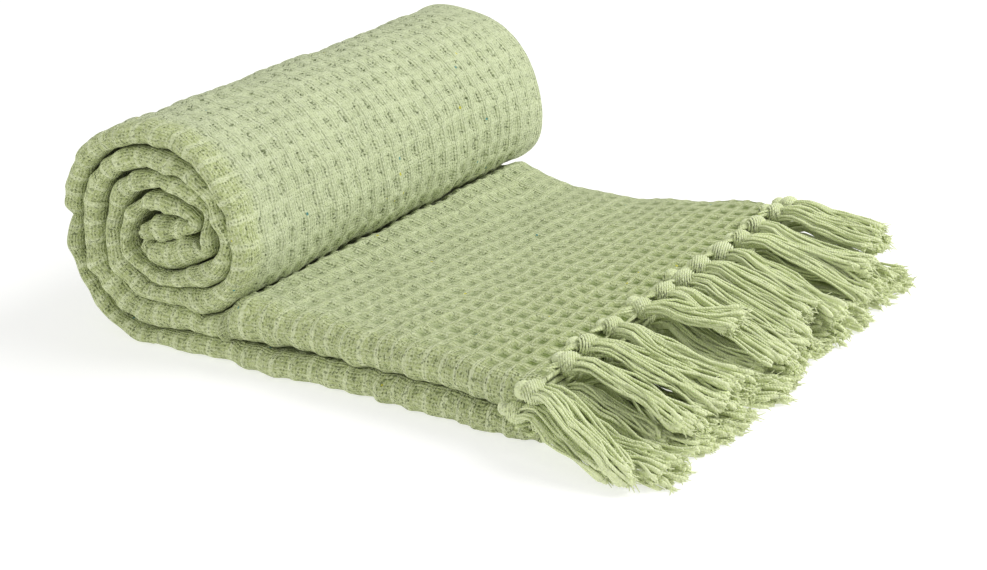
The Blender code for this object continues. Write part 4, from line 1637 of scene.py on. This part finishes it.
@dataclass
class ThrowCloth:
    """The cloth in four stretches of the band, which meet where it is hidden or at a fold."""
    band: WaffleBand
    offset: Vector
    outer_until_turn: float = 0.875
    upper_from_x: float = 0.050
    fine_rows: int = 9
    hidden_rows: int = 8

    def stretches(self) -> list[tuple[str, float, float, Cover, int]]:
        """Name, first and last run, cover and rows per cell of each stretch."""
        path, fine = self.band.path, self.fine_rows
        turn_start = path.run_at(Band.OUTER, 0.0)
        turn_end = path.run_at(Band.OUTER, self.outer_until_turn)
        upper = path.run_at_upper(self.upper_from_x)
        return [
            ("cloth_lower_run", 0.0, turn_start, Cover.NEAR_FOLD, fine),
            ("cloth_outer_turn", turn_start, turn_end, Cover.WHOLE_PORT_SIDE, fine),
            ("cloth_inner_turns", turn_end, upper, Cover.NEAR_FOLD, self.hidden_rows),
            ("cloth_upper_run", upper, float(path.runs[-1]), Cover.WHOLE_PORT_SIDE, fine),
        ]

    def build(self, material: bpy.types.Material, fringe: dict[str, list[bpy.types.Object]]) -> None:
        """Makes the stretches.

        Args:
            material: the cloth's finish.
            fringe: not used; each stretch only looks up the pieces of the strip that hang from it.
        """
        with_fringe = {"cloth_lower_run": "fringe_lower", "cloth_upper_run": "fringe_upper"}
        for name, start, end, cover, rows_per_cell in self.stretches():
            points, cloth = self.band.surface(start, end, cover, rows_per_cell)
            piece = closed_tube(name, points + np.array(self.offset), cloth)
            piece.data.materials.append(material)
            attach(piece, "root")
            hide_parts("throw_cloth")
            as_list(fringe.get(with_fringe.get(name, ""), []))
            LOG.info("%s: %d faces", name, len(piece.data.polygons))


@dataclass(frozen=True)
class Studio:
    """A pale floor, soft light from above and from the right, and the photograph's camera."""
    focal_px: float = 1948.17
    azimuth: float = 31.44
    elevation: float = 22.01
    distance: float = 1.163
    target_x: float = 0.1252
    target_z: float = 0.0096
    sensor_width: float = 36.0
    clip: Range = (0.05, 50.0)
    floor_size: float = 8.0
    floor_drop: float = 0.0003
    floor_colour: str = "#BEBEBC"
    floor_roughness: float = 0.9
    floor_glow: float = 0.60
    sky_colour: str = "#FFFFFF"
    sky_strength: float = 0.47
    key_place: tuple[float, float, float] = (1.35, 1.0, 1.7)
    key_size: float = 1.6
    key_power: float = 52.0
    fill_place: tuple[float, float, float] = (-0.9, -2.2, 0.9)
    fill_size: float = 2.0
    fill_power: float = 22.0

    def add_camera(self, offset: Vector) -> None:
        """Places the camera on its sphere round the target, looking at it."""
        a, e = math.radians(self.azimuth), math.radians(self.elevation)
        back = Vector((math.sin(a) * math.cos(e), -math.cos(a) * math.cos(e), math.sin(e)))
        data = bpy.data.cameras.new("camera")
        data.sensor_width = self.sensor_width
        data.lens = self.focal_px * self.sensor_width / IMAGE_WIDTH
        data.clip_start, data.clip_end = self.clip
        camera = bpy.data.objects.new("camera", data)
        right = Vector((math.cos(a), math.sin(a), 0.0))
        turned = Matrix((right, back.cross(right), back)).transposed().to_4x4()
        eye = offset + Vector((self.target_x, 0.0, self.target_z)) + back * self.distance
        camera.matrix_world = Matrix.Translation(eye) @ turned
        bpy.context.scene.collection.objects.link(camera)
        bpy.context.scene.camera = camera

    def add_floor(self) -> None:
        """A large plain square just below the throw."""
        half, z = self.floor_size / 2, -self.floor_drop
        mesh = bpy.data.meshes.new("floor")
        mesh.from_pydata([(-half, -half, z), (half, -half, z), (half, half, z), (-half, half, z)],
                         [], [(0, 1, 2, 3)])
        floor = bpy.data.objects.new("floor", mesh)
        bpy.context.scene.collection.objects.link(floor)
        material, nodes = new_material("floor_paper")
        nodes.feed(nodes.tree.nodes["Principled BSDF"], {
            "Base Color": linear(self.floor_colour), "Roughness": self.floor_roughness,
            "Specular IOR Level": 0.0, "Emission Color": (1.0, 1.0, 1.0, 1.0),
            "Emission Strength": self.floor_glow})
        mesh.materials.append(material)

    def add_light(self, name: str, place: tuple[float, float, float], size: float, power: float) -> None:
        """Adds a square soft box that faces the throw.

        Args:
            name: its name.
            place: where it stands.
            size: the length of its side.
            power: its power in watts.
        """
        data = bpy.data.lights.new(name, "AREA")
        data.shape, data.size, data.energy = "SQUARE", size, power
        lamp = bpy.data.objects.new(name, data)
        lamp.location = place
        lamp.rotation_mode = "QUATERNION"
        lamp.rotation_quaternion = (-Vector(place)).to_track_quat("-Z", "Y")
        bpy.context.scene.collection.objects.link(lamp)

    def build(self, offset: Vector) -> None:
        """Makes the camera, the floor, the sky and the lights."""
        self.add_camera(offset)
        self.add_floor()
        world = bpy.data.worlds.new("studio")
        world.use_nodes = True
        sky = world.node_tree.nodes["Background"]
        sky.inputs["Color"].default_value = linear(self.sky_colour)
        sky.inputs["Strength"].default_value = self.sky_strength
        bpy.context.scene.world = world
        self.add_light("key", self.key_place, self.key_size, self.key_power)
        self.add_light("fill", self.fill_place, self.fill_size, self.fill_power)
        bpy.context.scene.view_settings.view_transform = "Standard"
        bpy.context.scene.view_settings.look = "None"


def main() -> None:
    """Builds the studio, the fringe and the cloth."""
    logging.basicConfig(level=logging.INFO, format="%(name)s: %(message)s")
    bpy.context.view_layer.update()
    path = BandPath()
    strip_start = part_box("fringe_lower")[0].x
    far_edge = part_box("throw_cloth")[1].y
    offset = Vector((strip_start - CLOTH_END, far_edge - path.folded_width / 2, 0.0))
    Studio().build(offset)
    yarn = FringeYarn().build()
    fluff = FringeYarn(name="fringe_fluff", scatter=0.0, ply_height=0.0002).build()
    fringe = Fringe(strip_start - SEAM, offset.y).build(yarn, fluff)
    ThrowCloth(WaffleBand(path), offset).build(WaffleCotton(path.cell).build(), fringe)


if __name__ == "__main__":
    main()
